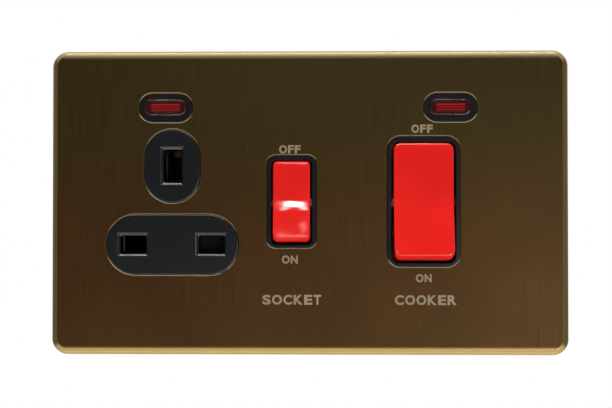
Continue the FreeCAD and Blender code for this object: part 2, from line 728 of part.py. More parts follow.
def shutter_spring():
    """Strip folded to and fro between its seat and the shutter."""
    low = SHUTTER_SPRING_SEAT_Z + SHUTTER_SPRING_SHEET / 2
    high = shutter_bottom - SHUTTER_SPRING_SHEET / 2
    rise = (high - low) / SHUTTER_SPRING_FOLDS
    path = [(spring_y - SHUTTER_SPRING_REACH, low)]
    for fold in range(SHUTTER_SPRING_FOLDS + 1):
        side = 1 if fold % 2 == 0 else -1
        path.append((spring_y + side * SHUTTER_SPRING_REACH, low + fold * rise))
    last_side = -1 if SHUTTER_SPRING_FOLDS % 2 == 0 else 1
    path.append((spring_y + last_side * SHUTTER_SPRING_REACH, high))
    half = SHUTTER_SPRING_WIDTH / 2
    return prism_x(ribbon(path, SHUTTER_SPRING_SHEET), SOCKET_X - half, SOCKET_X + half)


def clip_line(mouth, grip, back):
    """Half of a spring clip's bent line as (depth, offset), from its mouth to its back."""
    pinch = PIN_THICKNESS / 2 - CLIP_GRIP / 2 + CLIP_SHEET / 2
    half = [(mouth, pinch + CLIP_FLARE), (grip, pinch), (back, pinch + CLIP_BACK_FLARE)]
    return half + [(depth, -offset) for depth, offset in half[::-1]]


def live_clip(x):
    line = clip_line(live_clip_mouth, live_clip_mouth + LIVE_GRIP_DEPTH, live_clip_back)
    path = [(y, LIVE_PIN_Z + z) for y, z in line]
    return prism_x(ribbon(path, CLIP_SHEET), x - LIVE_CLIP_WIDTH / 2, x + LIVE_CLIP_WIDTH / 2)


def socket_neutral_contact():
    return live_clip(neutral_x)


def socket_line_contact():
    back = pad_front + CLIP_SHEET
    half = TAIL_WIDTH / 2
    tail = box(line_x, LINE_RISER_X + half, pad_front, back, LIVE_PIN_Z - half, LIVE_PIN_Z + half)
    riser = box(LINE_RISER_X - half, LINE_RISER_X + half, pad_front, back, LIVE_PIN_Z, SMALL_TIP_Z + half)
    pad = box(LINE_RISER_X, SMALL_X + half, pad_front, back, SMALL_TIP_Z - half, SMALL_TIP_Z + half)
    return union([live_clip(line_x), tail, riser, pad])


def socket_earth_contact():
    line = clip_line(earth_clip_mouth, earth_clip_mouth + EARTH_GRIP_DEPTH, earth_clip_back)
    path = [(SOCKET_X + x, y) for y, x in line]
    half = EARTH_CLIP_WIDTH / 2
    return prism_z(ribbon(path, CLIP_SHEET), earth_z - half, earth_z + half)


def earth_terminal():
    block = terminal_block(EARTH_TERMINAL_X, 1)
    left = SOCKET_X - BUSBAR_WIDTH / 2
    right = EARTH_TERMINAL_X - TERMINAL_WIDTH / 2
    strap = box(left, right, strap_front, strap_back, strap_low, strap_high)
    tab = box(
        left, left + BUSBAR_WIDTH, strap_front, strap_back,
        earth_z + EARTH_CLIP_WIDTH / 2, strap_low,
    )
    return union([block, strap, tab])


def terminal_block(x, side):
    """Brass cage with a square cable way along Z and a clamping-screw hole from the rear."""
    low = min(side * TERMINAL_INNER_Z, side * terminal_outer_z)
    high = max(side * TERMINAL_INNER_Z, side * terminal_outer_z)
    half = TERMINAL_WIDTH / 2
    block = box(x - half, x + half, TERMINAL_FRONT, TERMINAL_REAR, low, high)
    way_half = CABLE_WAY / 2
    way = box(
        x - way_half, x + way_half, CABLE_WAY_Y - way_half, CABLE_WAY_Y + way_half,
        low - OVERRUN, high + OVERRUN,
    )
    hole_radius = TERMINAL_SCREW_RADIUS + SCREW_GRIP
    hole = pillar(x, (low + high) / 2, hole_radius, CABLE_WAY_Y, TERMINAL_REAR + OVERRUN, SCREW_SIDES)
    return block.cut([way, hole])


def fulcrum(x):
    """Upright with a round edge that the see-saw contact rocks on."""
    half = SEESAW_WIDTH / 2
    edge = axle(fulcrum_y, 0, FULCRUM_RADIUS, x - half, x + half)
    upright = box(x - half, x + half, fulcrum_y, bar_front, -FULCRUM_RADIUS, FULCRUM_RADIUS)
    return [edge, upright]


def in_terminal(x):
    half = BUSBAR_WIDTH / 2
    strip = box(x - half, x + half, bar_front, bar_back, -TERMINAL_INNER_Z, fulcrum_toe)
    return union([terminal_block(x, -1), strip] + fulcrum(x))


def out_terminal(x):
    half = BUSBAR_WIDTH / 2
    strip = box(x - half, x + half, pad_front, pad_back, pad_low, TERMINAL_INNER_Z)
    return union([terminal_block(x, 1), strip])


def line_busbar():
    half = BUSBAR_WIDTH / 2
    right = line_pole_x - half
    cross = box(SMALL_X - half, right, bar_front, bar_back, CROSS_BAR_LOW, CROSS_BAR_HIGH)
    riser = box(SMALL_X - half, SMALL_X + half, bar_front, bar_back, CROSS_BAR_HIGH, fulcrum_toe)
    return union([cross, riser] + fulcrum(SMALL_X))


def neutral_link():
    low, high = link_z - LINK_WIDTH / 2, link_z + LINK_WIDTH / 2
    left = neutral_x - LIVE_CLIP_WIDTH / 2
    right = neutral_pole_x + TAIL_WIDTH / 2
    run = box(left, right, link_front, link_back, low, high)
    leg_left = neutral_pole_x - TAIL_WIDTH / 2
    leg = box(leg_left, right, link_front, bar_front, low, low + BUSBAR_SHEET)
    return union([run, leg])


def plate_earth_spring():
    tip = plate_back + LEAF_GAP + LEAF_SHEET / 2
    foot = strap_front - LEAF_SHEET / 2
    path = [
        (LEAF_X + LEAF_FOOT, foot),
        (LEAF_X, foot),
        (LEAF_X, tip + LEAF_BEND_DEPTH),
        (LEAF_X + LEAF_TIP_REACH, tip),
        (LEAF_X + LEAF_END_REACH, tip + LEAF_END_DEPTH),
    ]
    return prism_z(ribbon(path, LEAF_SHEET), LEAF_Z - LEAF_WIDTH / 2, LEAF_Z + LEAF_WIDTH / 2)


def terminal_screws():
    middle = (TERMINAL_INNER_Z + terminal_outer_z) / 2
    places = [
        (line_pole_x, middle), (neutral_pole_x, middle), (EARTH_TERMINAL_X, middle),
        (line_pole_x, -middle), (neutral_pole_x, -middle),
    ]
    screws = []
    for x, z in places:
        start = CABLE_WAY_Y + CABLE_WAY / 2 + TERMINAL_SCREW_ROOM
        shank = pillar(x, z, TERMINAL_SCREW_RADIUS, start, TERMINAL_REAR, SCREW_SIDES)
        head_end = TERMINAL_REAR + TERMINAL_HEAD_HEIGHT
        head = pillar(x, z, TERMINAL_HEAD_RADIUS, TERMINAL_REAR, head_end, TERMINAL_HEAD_SIDES)
        half, reach = TERMINAL_SLOT_WIDTH / 2, TERMINAL_HEAD_RADIUS + OVERRUN
        slot = box(x - half, x + half, head_end - SCREW_SLOT_DEPTH, head_end + OVERRUN, z - reach, z + reach)
        screws.append(union([shank, head]).cut(slot))
    return Part.makeCompound(screws)


def housing_screws():
    screws = []
    for x, z in screw_places:
        shank = pillar(x, z, SCREW_RADIUS, SCREW_TIP, screw_head_start, SCREW_SIDES)
        head = pillar(x, z, SCREW_HEAD_RADIUS, screw_head_start, screw_head_end, SCREW_HEAD_SIDES)
        half, reach = SCREW_SLOT_WIDTH / 2, SCREW_HEAD_RADIUS + OVERRUN
        front, back = screw_head_end - SCREW_SLOT_DEPTH, screw_head_end + OVERRUN
        slot = box(x - reach, x + reach, front, back, z - half, z + half)
        screws.append(union([shank, head]).cut(slot))
    return Part.makeCompound(screws)


def screw_columns(x0, x1):
    """Columns of a rear moulding for the screws between two x, and the holes in them."""
    columns, holes = [], []
    for x, z in screw_places:
        if x0 < x < x1:
            columns.append(square_post(x, z, SCREW_COLUMN_WIDTH, SCREW_BOSS_END, floor_y + LAP))
            rear = BASE_REAR + OVERRUN
            holes.append(pillar(x, z, SCREW_RADIUS + SCREW_CLEARANCE, panel_back, rear, SCREW_SIDES))
            radius = SCREW_HEAD_RADIUS + SCREW_HEAD_PLAY
            holes.append(pillar(x, z, radius, screw_head_start, rear, SCREW_HEAD_SIDES))
    return columns, holes


def base_shell(x0, x1):
    """Open box of a rear moulding, and the prism of its inside."""
    middle, width = (x0 + x1) / 2, x1 - x0
    outer = cut_corner_prism(middle, 0, width, BASE_HEIGHT, BASE_CORNER, panel_back, BASE_REAR)
    inner_width = width - 2 * BASE_WALL
    inner = box(
        middle - inner_width / 2, middle + inner_width / 2, panel_back - OVERRUN, floor_y,
        -base_inner_z, base_inner_z,
    )
    return outer, inner


def socket_base():
    outer, inner = base_shell(base_left, socket_base_right)
    inner_left = base_left + BASE_WALL
    inner_right = socket_base_right - BASE_WALL
    block = box(
        base_left + SOCKET_BLOCK_INSET, socket_base_right - SOCKET_BLOCK_INSET,
        BASE_REAR - OVERRUN, SOCKET_BLOCK_REAR, SOCKET_BLOCK_BOTTOM, SOCKET_BLOCK_TOP,
    )
    rear_edges = edges_at(block, SOCKET_BLOCK_REAR, PLATE_WIDTH, PLATE_HEIGHT)
    block = block.makeChamfer(SOCKET_BLOCK_INSET, rear_edges)
    deck = box(inner_left, inner_right, deck_front, BASE_REAR, SOCKET_BLOCK_BOTTOM, SOCKET_BLOCK_TOP)
    columns, holes = screw_columns(base_left, socket_base_right)
    rest_low = earth_z + FACE_REST_RISE
    keep = [deck] + columns + lamp_posts(SOCKET_NEON_X)
    way_left, way_right = SOCKET_X - SHUTTER_WAY / 2, SOCKET_X + SHUTTER_WAY / 2
    keep.append(box(inner_left, way_left, face_back, deck_front, rest_low, SOCKET_BLOCK_TOP))
    keep.append(box(way_right, inner_right, face_back, deck_front, rest_low, SOCKET_BLOCK_TOP))
    open_bottom = shutter_bottom - SHUTTER_TRAVEL - SHUTTER_END_ROOM
    ledge_low = open_bottom - FACE_LEDGE
    keep.append(box(inner_left, way_left, face_back, floor_y, ledge_low, open_bottom))
    keep.append(box(way_right, inner_right, face_back, floor_y, ledge_low, open_bottom))
    seat, seat_half = SHUTTER_SPRING_SEAT_Z, SPRING_SEAT_WIDTH / 2
    seat_low = seat - SPRING_SEAT_SHEET
    keep.append(box(SOCKET_X - seat_half, SOCKET_X + seat_half, shutter_front, floor_y, seat_low, seat))
    strap_rest = box(inner_left, inner_right, strap_back, floor_y, strap_low, strap_high)
    keep.append(strap_rest)
    cavity = inner.cut(keep)
    cutters = [cavity] + holes
    slot_half = LIVE_SLOT_WIDTH / 2
    slot_rise = LIVE_SLOT_HEIGHT / 2
    clip_half = LIVE_CLIP_WIDTH / 2 + CLIP_SIDE_PLAY
    clip_rise = LIVE_CLIP_ROOM / 2
    clip_start = live_clip_mouth - CLIP_END_PLAY
    clip_end = live_clip_back + CLIP_SHEET / 2 + BUSBAR_PLAY
    deck_start = deck_front - LAP
    side_out = socket_base_right + OVERRUN
    for x in (neutral_x, line_x):
        cutters.append(
            box(
                x - slot_half, x + slot_half, deck_start, live_clip_mouth,
                LIVE_PIN_Z - slot_rise, LIVE_PIN_Z + slot_rise,
            )
        )
        cutters.append(
            box(
                x - clip_half, x + clip_half, clip_start, clip_end,
                LIVE_PIN_Z - clip_rise, LIVE_PIN_Z + clip_rise,
            )
        )
    tail_half = TAIL_WIDTH / 2 + TAIL_PLAY
    cutters.append(
        box(
            line_x, side_out, deck_start, pad_front + CLIP_SHEET + BUSBAR_PLAY,
            LIVE_PIN_Z - tail_half, LIVE_PIN_Z + tail_half,
        )
    )
    link_half = LINK_WIDTH / 2 + BUSBAR_PLAY
    cutters.append(
        box(
            neutral_x - clip_half, side_out, deck_start, link_back + BUSBAR_PLAY,
            link_z - link_half, link_z + link_half,
        )
    )
    earth_half = EARTH_SLOT_WIDTH / 2
    earth_rise = EARTH_SLOT_HEIGHT / 2
    cutters.append(
        box(
            SOCKET_X - earth_half, SOCKET_X + earth_half, deck_start, earth_clip_mouth,
            earth_z - earth_rise, earth_z + earth_rise,
        )
    )
    earth_room = EARTH_CLIP_ROOM / 2
    earth_end = earth_clip_back + CLIP_SHEET / 2 + BUSBAR_PLAY
    cutters.append(
        box(
            SOCKET_X - earth_room, SOCKET_X + earth_room, earth_clip_mouth - CLIP_END_PLAY, earth_end,
            earth_z - earth_rise - LAP, earth_z + earth_rise + LAP,
        )
    )
    ramp_half = SHUTTER_RAMP_WIDTH / 2 + SHUTTER_RAMP_PLAY
    cutters.append(
        box(
            SOCKET_X - ramp_half, SOCKET_X + ramp_half,
            deck_start, ramp_end_y + SHUTTER_RAMP_BACK + SHUTTER_RAMP_PLAY,
            ramp_start_z - SHUTTER_TRAVEL - RAMP_WELL_RISE, earth_z + earth_rise,
        )
    )
    tab_half = BUSBAR_WIDTH / 2 + BUSBAR_PLAY
    cutters.append(
        box(
            SOCKET_X - tab_half, SOCKET_X + tab_half, deck_start, strap_back + LAP,
            earth_z + EARTH_CLIP_WIDTH / 2, SOCKET_BLOCK_TOP + LAP,
        )
    )
    boss_half = SHUTTER_BOSS_WIDTH / 2 + SHUTTER_BOSS_PLAY
    boss_back = spring_y + SHUTTER_SPRING_REACH + SHUTTER_SPRING_SHEET + SHUTTER_SPRING_PLAY
    boss_top = shutter_bottom + SHUTTER_BOSS_HEIGHT + SHUTTER_BOSS_ROOM
    cutters.append(
        box(
            SOCKET_X - boss_half, SOCKET_X + boss_half, deck_start, boss_back,
            SOCKET_BLOCK_BOTTOM - LAP, boss_top,
        )
    )
    cutters.append(
        box(
            inner_right - LAP, side_out, strap_front - STRAP_PLAY, strap_back,
            strap_low - STRAP_PLAY, strap_high + STRAP_PLAY,
        )
    )
    return without(union([outer, block]), cutters)


def terminal_pocket(x, side, wall, reach):
    """Box round one terminal with a wall added, whose rear and far end reach past the moulding's faces."""
    half = TERMINAL_WIDTH / 2 + POCKET_PLAY + wall
    front = TERMINAL_FRONT - POCKET_NEAR_PLAY - wall
    near = side * (TERMINAL_INNER_Z - POCKET_NEAR_PLAY - wall)
    far = side * (BASE_HEIGHT / 2 + reach)
    return box(x - half, x + half, front, BASE_REAR + reach, min(near, far), max(near, far))


def lamp_posts(x):
    """Two posts on the floor of a rear moulding that a neon lamp rests on."""
    half, rise = LAMP_POST_WIDTH / 2, LAMP_POST_HEIGHT / 2
    return [
        box(x + dx - half, x + dx + half, lamp_seat, floor_y, NEON_Z - rise, NEON_Z + rise)
        for dx in (-LAMP_POST_SPREAD / 2, LAMP_POST_SPREAD / 2)
    ]


def switch_base():
    outer, inner = base_shell(switch_base_left, base_right)
    inner_left = switch_base_left + BASE_WALL
    columns, holes = screw_columns(switch_base_left, base_right)
    keep = columns + lamp_posts(COOKER_NEON_X) + [
        box(
            LARGE_X - POLE_BARRIER / 2, LARGE_X + POLE_BARRIER / 2, POLE_BARRIER_FRONT, floor_y,
            -POLE_BARRIER_HALF, POLE_BARRIER_HALF,
        ),
    ]
    terminals = [
        (line_pole_x, 1), (neutral_pole_x, 1), (EARTH_TERMINAL_X, 1),
        (line_pole_x, -1), (neutral_pole_x, -1),
    ]
    for x, side in terminals:
        keep.append(terminal_pocket(x, side, POCKET_WALL, -LAP))
    half = BUSBAR_WIDTH / 2
    for x in (line_pole_x, neutral_pole_x):
        keep.append(box(x - half, x + half, bar_back, floor_y, -TERMINAL_INNER_Z, fulcrum_toe))
        keep.append(box(x - half, x + half, pad_back, floor_y, pad_low, TERMINAL_INNER_Z))
    keep.append(box(SMALL_X - half, line_pole_x - half, bar_back, floor_y, CROSS_BAR_LOW, CROSS_BAR_HIGH))
    keep.append(box(SMALL_X - half, SMALL_X + half, bar_back, floor_y, CROSS_BAR_HIGH, fulcrum_toe))
    tail_half = TAIL_WIDTH / 2
    tail_back = pad_front + CLIP_SHEET
    keep.append(
        box(
            LINE_RISER_X - tail_half, LINE_RISER_X + tail_half, tail_back, floor_y,
            LIVE_PIN_Z, SMALL_TIP_Z + tail_half,
        )
    )
    keep.append(
        box(
            LINE_RISER_X, SMALL_X + tail_half, tail_back, floor_y,
            SMALL_TIP_Z - tail_half, SMALL_TIP_Z + tail_half,
        )
    )
    keep.append(
        box(
            inner_left, EARTH_TERMINAL_X - TERMINAL_WIDTH / 2, strap_back, floor_y,
            strap_low, strap_high,
        )
    )
    cutters = [inner.cut(keep)] + holes
    for x, side in terminals:
        cutters.append(terminal_pocket(x, side, 0.0, OVERRUN))
    pass_half = half + BUSBAR_PLAY
    for x in (line_pole_x, neutral_pole_x):
        near, far = TERMINAL_INNER_Z - 2 * POCKET_WALL, TERMINAL_INNER_Z + LAP
        cutters.append(box(x - pass_half, x + pass_half, bar_front - LAP, bar_back, -far, -near))
        cutters.append(box(x - pass_half, x + pass_half, pad_front - LAP, pad_back, near, far))
    wall_out, wall_in = switch_base_left - OVERRUN, inner_left + LAP
    tail_pass = tail_half + TAIL_PLAY
    cutters.append(
        box(
            wall_out, wall_in, pad_front - BUSBAR_PLAY, tail_back + BUSBAR_PLAY,
            LIVE_PIN_Z - tail_pass, LIVE_PIN_Z + tail_pass,
        )
    )
    link_half = LINK_WIDTH / 2 + BUSBAR_PLAY
    cutters.append(
        box(
            wall_out, wall_in, link_front - BUSBAR_PLAY, link_back + BUSBAR_PLAY,
            link_z - link_half, link_z + link_half,
        )
    )
    cutters.append(
        box(
            wall_out, wall_in, strap_front - STRAP_PLAY, strap_back,
            strap_low - STRAP_PLAY, strap_high + STRAP_PLAY,
        )
    )
    block_left = EARTH_TERMINAL_X - TERMINAL_WIDTH / 2
    pocket_left = block_left - POCKET_PLAY - POCKET_WALL
    cutters.append(
        box(
            pocket_left - LAP, block_left, strap_front - LAP, strap_back, strap_low - LAP, strap_high + LAP
        )
    )
    return without(outer, cutters)


def tilted(shape, y, degrees):
    """Copy of a shape turned about the X line through a depth at z = 0."""
    turned = shape.copy()
    turned.rotate(V(0, y, 0), X_AXIS, degrees)
    return turned


def rocker_block(width, end_radius):
    """Solid rocker in its middle position: two dished faces and ends struck about the pivot."""
    tilt = math.radians(ROCKER_TILT)
    sine, cosine = math.sin(tilt), math.cos(tilt)
    valley = -VALLEY_DEPTH
    reach = valley * sine + math.sqrt((valley * sine) ** 2 - valley ** 2 + end_radius ** 2)
    blend = VALLEY_BLEND * math.tan(tilt)
    skirt_z = math.sqrt(end_radius ** 2 - ROCKER_SKIRT ** 2)
    left = -width / 2

    def at(y, z):
        return V(left, y, z)

    upper_end = at(valley - reach * sine, reach * cosine)
    lower_end = at(valley - reach * sine, -reach * cosine)
    upper_blend = at(valley - blend * sine, blend * cosine)
    lower_blend = at(valley - blend * sine, -blend * cosine)
    blend_middle = at(valley - VALLEY_BLEND * (1 / cosine - 1), 0)
    edges = [
        Part.LineSegment(upper_end, upper_blend).toShape(),
        Part.Arc(upper_blend, blend_middle, lower_blend).toShape(),
        Part.LineSegment(lower_blend, lower_end).toShape(),
        Part.Arc(lower_end, at(0, -end_radius), at(ROCKER_SKIRT, -skirt_z)).toShape(),
        Part.LineSegment(at(ROCKER_SKIRT, -skirt_z), at(ROCKER_SKIRT, skirt_z)).toShape(),
        Part.Arc(at(ROCKER_SKIRT, skirt_z), at(0, end_radius), upper_end).toShape(),
    ]
    return Part.Face(Part.Wire(edges)).extrude(V(width, 0, 0))


def rocker(x, width, opening, end_radius, corner, tube_offsets):
    block = rocker_block(width, end_radius)
    noses = [
        edge for edge in block.Edges
        if edge.BoundBox.XLength > width / 2 and edge.BoundBox.YMax < -VALLEY_DEPTH
        and abs(edge.BoundBox.ZMax) > end_radius / 2
    ]
    block = block.makeFillet(ROCKER_NOSE, noses)
    length = 2 * math.sqrt(end_radius ** 2 - (PIVOT_Y - bezel_front) ** 2)
    block = block.common(rounded_prism(0, 0, width, length, corner, -end_radius, end_radius))
    half = width / 2 - ROCKER_WALL
    roof = -VALLEY_DEPTH + ROCKER_ROOF
    end = end_radius - ROCKER_END_WALL
    hollow = box(-half, half, roof, ROCKER_SKIRT + OVERRUN, -end, end)
    solids = [block.cut(hollow)]
    bores = []
    bore_width = PLUNGER_WIDTH + 2 * PLUNGER_PLAY
    for offset in tube_offsets:
        solids.append(square_post(offset, 0, TUBE_WIDTH, roof - LAP, TUBE_END))
        bores.append(square_post(offset, 0, bore_width, -BORE_DEPTH, TUBE_END + OVERRUN))
    for side in (-1, 1):
        inner = side * (width / 2 - ROCKER_WALL)
        outer = side * (opening / 2 + TRUNNION_LENGTH - TRUNNION_END_PLAY)
        solids.append(axle(0, 0, TRUNNION_RADIUS, min(inner, outer), max(inner, outer)))
    shape = without(union(solids), bores)
    shape.translate(V(x, PIVOT_Y, 0))
    return tilted(shape, PIVOT_Y, -ROCKER_TILT)


def plunger(x):
    """Square plunger whose nose is a few flats round the point that presses the see-saw."""
    half = PLUNGER_WIDTH / 2
    reach = fulcrum_y - PIVOT_Y - SEESAW_TOP - half - CENTRE_GAP
    slant = half * math.sqrt(0.5)
    start, shoulder = PIVOT_Y + PLUNGER_START, PIVOT_Y + reach
    outline = [
        (start, -half), (shoulder, -half), (shoulder + slant, -slant), (shoulder + half, 0.0),
        (shoulder + slant, slant), (shoulder, half), (start, half),
    ]
    return tilted(prism_x(outline, x - half, x + half), PIVOT_Y, -ROCKER_TILT)


def plunger_spring(x):
    length = PLUNGER_START + BORE_DEPTH
    radius = PLUNGER_WIDTH / 2 - SPRING_WIRE / 2
    spring = coil(radius, SPRING_WIRE, length, SPRING_TURNS, V(x, PIVOT_Y - BORE_DEPTH, 0), Y_AXIS)
    return tilted(spring, PIVOT_Y, -ROCKER_TILT)


def seesaw(x, half_length, tip_z, tip_drop):
    half = SEESAW_WIDTH / 2
    under = fulcrum_y - SEESAW_TOP + SEESAW_SHEET
    bar = box(x - half, x + half, fulcrum_y - SEESAW_TOP, under, -half_length, half_length)
    hub = box(x - half, x + half, under, fulcrum_y, -SEESAW_HUB, SEESAW_HUB)
    tip = square_post(x, tip_z, TIP_WIDTH, under, fulcrum_y + tip_drop)
    seat = axle(fulcrum_y, 0, FULCRUM_RADIUS + FULCRUM_PLAY, x - half - OVERRUN, x + half + OVERRUN)
    shape = without(union([bar, hub, tip]), [seat])
    return tilted(shape, fulcrum_y, ROCKER_TILT)


def neon_lens(x):
    width, height = LENS_WIDTH - 2 * LENS_GAP, LENS_HEIGHT - 2 * LENS_GAP
    front = neon_front - LENS_PROUD
    dome = obround(x, NEON_Z, width, height, front, panel_back + LAP)
    flange_half = LENS_WIDTH / 2 + LENS_FLANGE
    flange_rise = LENS_HEIGHT / 2 + LENS_FLANGE
    flange = box(
        x - flange_half, x + flange_half, panel_back, panel_back + LENS_FLANGE_SHEET,
        NEON_Z - flange_rise, NEON_Z + flange_rise,
    )
    inside_half = LENS_RIB_WIDTH / 2
    inside_rise = 1.5 * LENS_RIB_PITCH
    hollow = box(
        x - inside_half, x + inside_half, front + LENS_SKIN, panel_back + LENS_FLANGE_SHEET + OVERRUN,
        NEON_Z - inside_rise, NEON_Z + inside_rise,
    )
    ribs = []
    rib_front, rib_back = front + LENS_SKIN - LAP, front + LENS_SKIN + LENS_RIB_DEPTH
    for step in (-1, 0, 1):
        low = NEON_Z + step * LENS_RIB_PITCH - LENS_RIB_SHEET / 2
        high = low + LENS_RIB_SHEET
        ribs.append(box(x - inside_half, x + inside_half, rib_front, rib_back, low, high))
    return union([union([dome, flange]).cut(hollow)] + ribs)


def neon_lamp(x, side):
    """Glass tube with two leads out of one end."""
    half = LAMP_LENGTH / 2
    tube = many_sided(V(x - half, LAMP_Y, NEON_Z), X_AXIS, LAMP_RADIUS, LAMP_LENGTH, LAMP_SIDES)
    leads = []
    for dz in (-LEAD_PITCH / 2, LEAD_PITCH / 2):
        leads.append(lead(x + side * half, x + side * (half + LAMP_LEAD_LENGTH), NEON_Z + dz))
    return union([tube] + leads)


def lead(x0, x1, z):
    half = LEAD_WIDTH / 2
    return box(min(x0, x1), max(x0, x1), LAMP_Y - half, LAMP_Y + half, z - half, z + half)


def neon_resistor(x, side):
    gap = LAMP_LENGTH / 2 + LAMP_LEAD_LENGTH + LEAD_JOINT_GAP
    near = x + side * (gap + RESISTOR_LEAD_LENGTH)
    far = near + side * RESISTOR_LENGTH
    z = NEON_Z + LEAD_PITCH / 2
    start = V(min(near, far), LAMP_Y, z)
    body = many_sided(start, X_AXIS, RESISTOR_RADIUS, RESISTOR_LENGTH, LAMP_SIDES)
    far_lead = lead(far, far + side * RESISTOR_LEAD_LENGTH, z)
    return union([body, lead(x + side * gap, near, z), far_lead])


pieces = {
    "front_plate": front_plate(),
    "front_moulding": front_moulding(),
    "socket_face": socket_face(),
    "socket_base": socket_base(),
    "switch_base": switch_base(),
    "housing_screws": housing_screws(),
    "shutter": shutter(),
    "shutter_spring": shutter_spring(),
    "socket_neutral_contact": socket_neutral_contact(),
    "socket_line_contact": socket_line_contact(),
    "socket_earth_contact": socket_earth_contact(),
    "line_busbar": line_busbar(),
    "neutral_link": neutral_link(),
    "plate_earth_spring": plate_earth_spring(),
    "line_in_terminal": in_terminal(line_pole_x),
    "neutral_in_terminal": in_terminal(neutral_pole_x),
    "line_out_terminal": out_terminal(line_pole_x),
    "neutral_out_terminal": out_terminal(neutral_pole_x),
    "earth_terminal": earth_terminal(),
    "terminal_screws": terminal_screws(),
    "socket_rocker": rocker(
        SMALL_X, SMALL_ROCKER_WIDTH, SMALL_OPENING_WIDTH, SMALL_END_RADIUS, SMALL_CORNER, [0.0]
    ),
    "socket_plunger": plunger(SMALL_X),
    "socket_plunger_spring": plunger_spring(SMALL_X),
    "socket_moving_contact": seesaw(SMALL_X, SMALL_SEESAW_HALF, SMALL_TIP_Z, SMALL_TIP_DROP),
    "cooker_rocker": rocker(
        LARGE_X, LARGE_ROCKER_WIDTH, LARGE_OPENING_WIDTH, LARGE_END_RADIUS, LARGE_CORNER,
        [-POLE_OFFSET, POLE_OFFSET],
    ),
    "cooker_line_plunger": plunger(line_pole_x),
    "cooker_neutral_plunger": plunger(neutral_pole_x),
    "cooker_line_spring": plunger_spring(line_pole_x),
    "cooker_neutral_spring": plunger_spring(neutral_pole_x),
    "cooker_line_moving_contact": seesaw(line_pole_x, LARGE_SEESAW_HALF, LARGE_TIP_Z, LARGE_TIP_DROP),
    "cooker_neutral_moving_contact": seesaw(
        neutral_pole_x, LARGE_SEESAW_HALF, LARGE_TIP_Z, LARGE_TIP_DROP
    ),
    "socket_neon_lens": neon_lens(SOCKET_NEON_X),
    "cooker_neon_lens": neon_lens(COOKER_NEON_X),
    "socket_neon_lamp": neon_lamp(SOCKET_NEON_X, 1),
    "cooker_neon_lamp": neon_lamp(COOKER_NEON_X, -1),
    "socket_neon_resistor": neon_resistor(SOCKET_NEON_X, 1),
    "cooker_neon_resistor": neon_resistor(COOKER_NEON_X, -1),
}

os.makedirs("parts", exist_ok=True)
for name, shape in pieces.items():
    shape.exportStep(f"parts/{name}.step")
    print(name, "solids", len(shape.Solids), "valid", shape.isValid(), "volume", round(shape.Volume, 1))
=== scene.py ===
import json
import logging
import math
from contextlib import contextmanager
from dataclasses import dataclass
from enum import Enum
from typing import Any, Callable, Iterable, Iterator, Optional, Sequence

import bmesh
import bpy
from mathutils import Matrix, Vector


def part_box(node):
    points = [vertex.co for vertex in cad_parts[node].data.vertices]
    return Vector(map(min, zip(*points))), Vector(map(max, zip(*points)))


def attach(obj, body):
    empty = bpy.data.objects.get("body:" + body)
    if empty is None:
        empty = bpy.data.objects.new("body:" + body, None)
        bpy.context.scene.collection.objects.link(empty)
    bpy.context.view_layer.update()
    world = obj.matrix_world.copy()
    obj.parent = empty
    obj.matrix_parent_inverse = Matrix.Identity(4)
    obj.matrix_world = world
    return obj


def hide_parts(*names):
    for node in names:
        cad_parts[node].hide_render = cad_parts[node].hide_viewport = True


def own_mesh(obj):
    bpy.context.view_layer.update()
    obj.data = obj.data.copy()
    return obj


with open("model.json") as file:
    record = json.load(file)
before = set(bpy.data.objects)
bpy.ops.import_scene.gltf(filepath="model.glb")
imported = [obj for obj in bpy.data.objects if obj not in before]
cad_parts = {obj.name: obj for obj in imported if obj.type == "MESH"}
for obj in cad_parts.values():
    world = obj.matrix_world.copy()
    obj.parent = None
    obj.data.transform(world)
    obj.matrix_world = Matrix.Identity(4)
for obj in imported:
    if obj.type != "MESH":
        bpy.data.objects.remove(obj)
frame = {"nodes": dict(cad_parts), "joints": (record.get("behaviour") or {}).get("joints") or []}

# Looks of a cooker control unit: a bronze plate with a black socket and two red rocker switches.
# The frame is in metres: X to the right seen from the front, Z up, and the front faces -Y.

Tree = bpy.types.NodeTree
Socket = bpy.types.NodeSocket
Piece = bpy.types.Object
Pair = tuple[float, float]
Triple = tuple[float, float, float]
Colour = tuple[float, float, float, float]

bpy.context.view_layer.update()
MM = 0.001
# Points closer together than this, in metres, are one point.
WELD = 0.001 * MM
# A face looks along an axis when at least this much of its normal does.
FACING = 0.9
# Most values of a noise texture lie between these two.
NOISE_SPAN = (0.3, 0.7)
# Settings of a node that mixes two colours, and of one that maps a range softly and stops at its ends.
BLEND = {"data_type": "RGBA"}
SOFT = {"interpolation_type": "SMOOTHSTEP"}

log = logging.getLogger("cooker_control_unit")


class Body(Enum):
    """The rigid bodies that pieces ride on."""

    UNIT = "unit"
    SOCKET_ROCKER = "socket_rocker"
    COOKER_ROCKER = "cooker_rocker"
    SOCKET_CONTACT = "socket_contact"
    COOKER_LINE_CONTACT = "cooker_line_contact"
    COOKER_NEUTRAL_CONTACT = "cooker_neutral_contact"
    SHUTTER = "shutter"


class Slot(Enum):
    """The record's material slots."""

    BRONZE = "plate_bronze"
    MOULDING = "moulding_black"
    BASE = "base_black"
    ROCKER = "rocker_red"
    LENS = "lens_red"
    SHUTTER = "shutter_nylon"
    PLUNGER = "plunger_nylon"
    BRASS = "contact_brass"
    STEEL = "steel"
    GLASS = "lamp_glass"
    CERAMIC = "resistor_ceramic"


class Pick(Enum):
    """What is picked in edit mode."""

    EDGE = "EDGE"
    FACE = "FACE"


class Along(Enum):
    """Axis that a round piece lies along."""

    X = "X"
    Y = "Y"


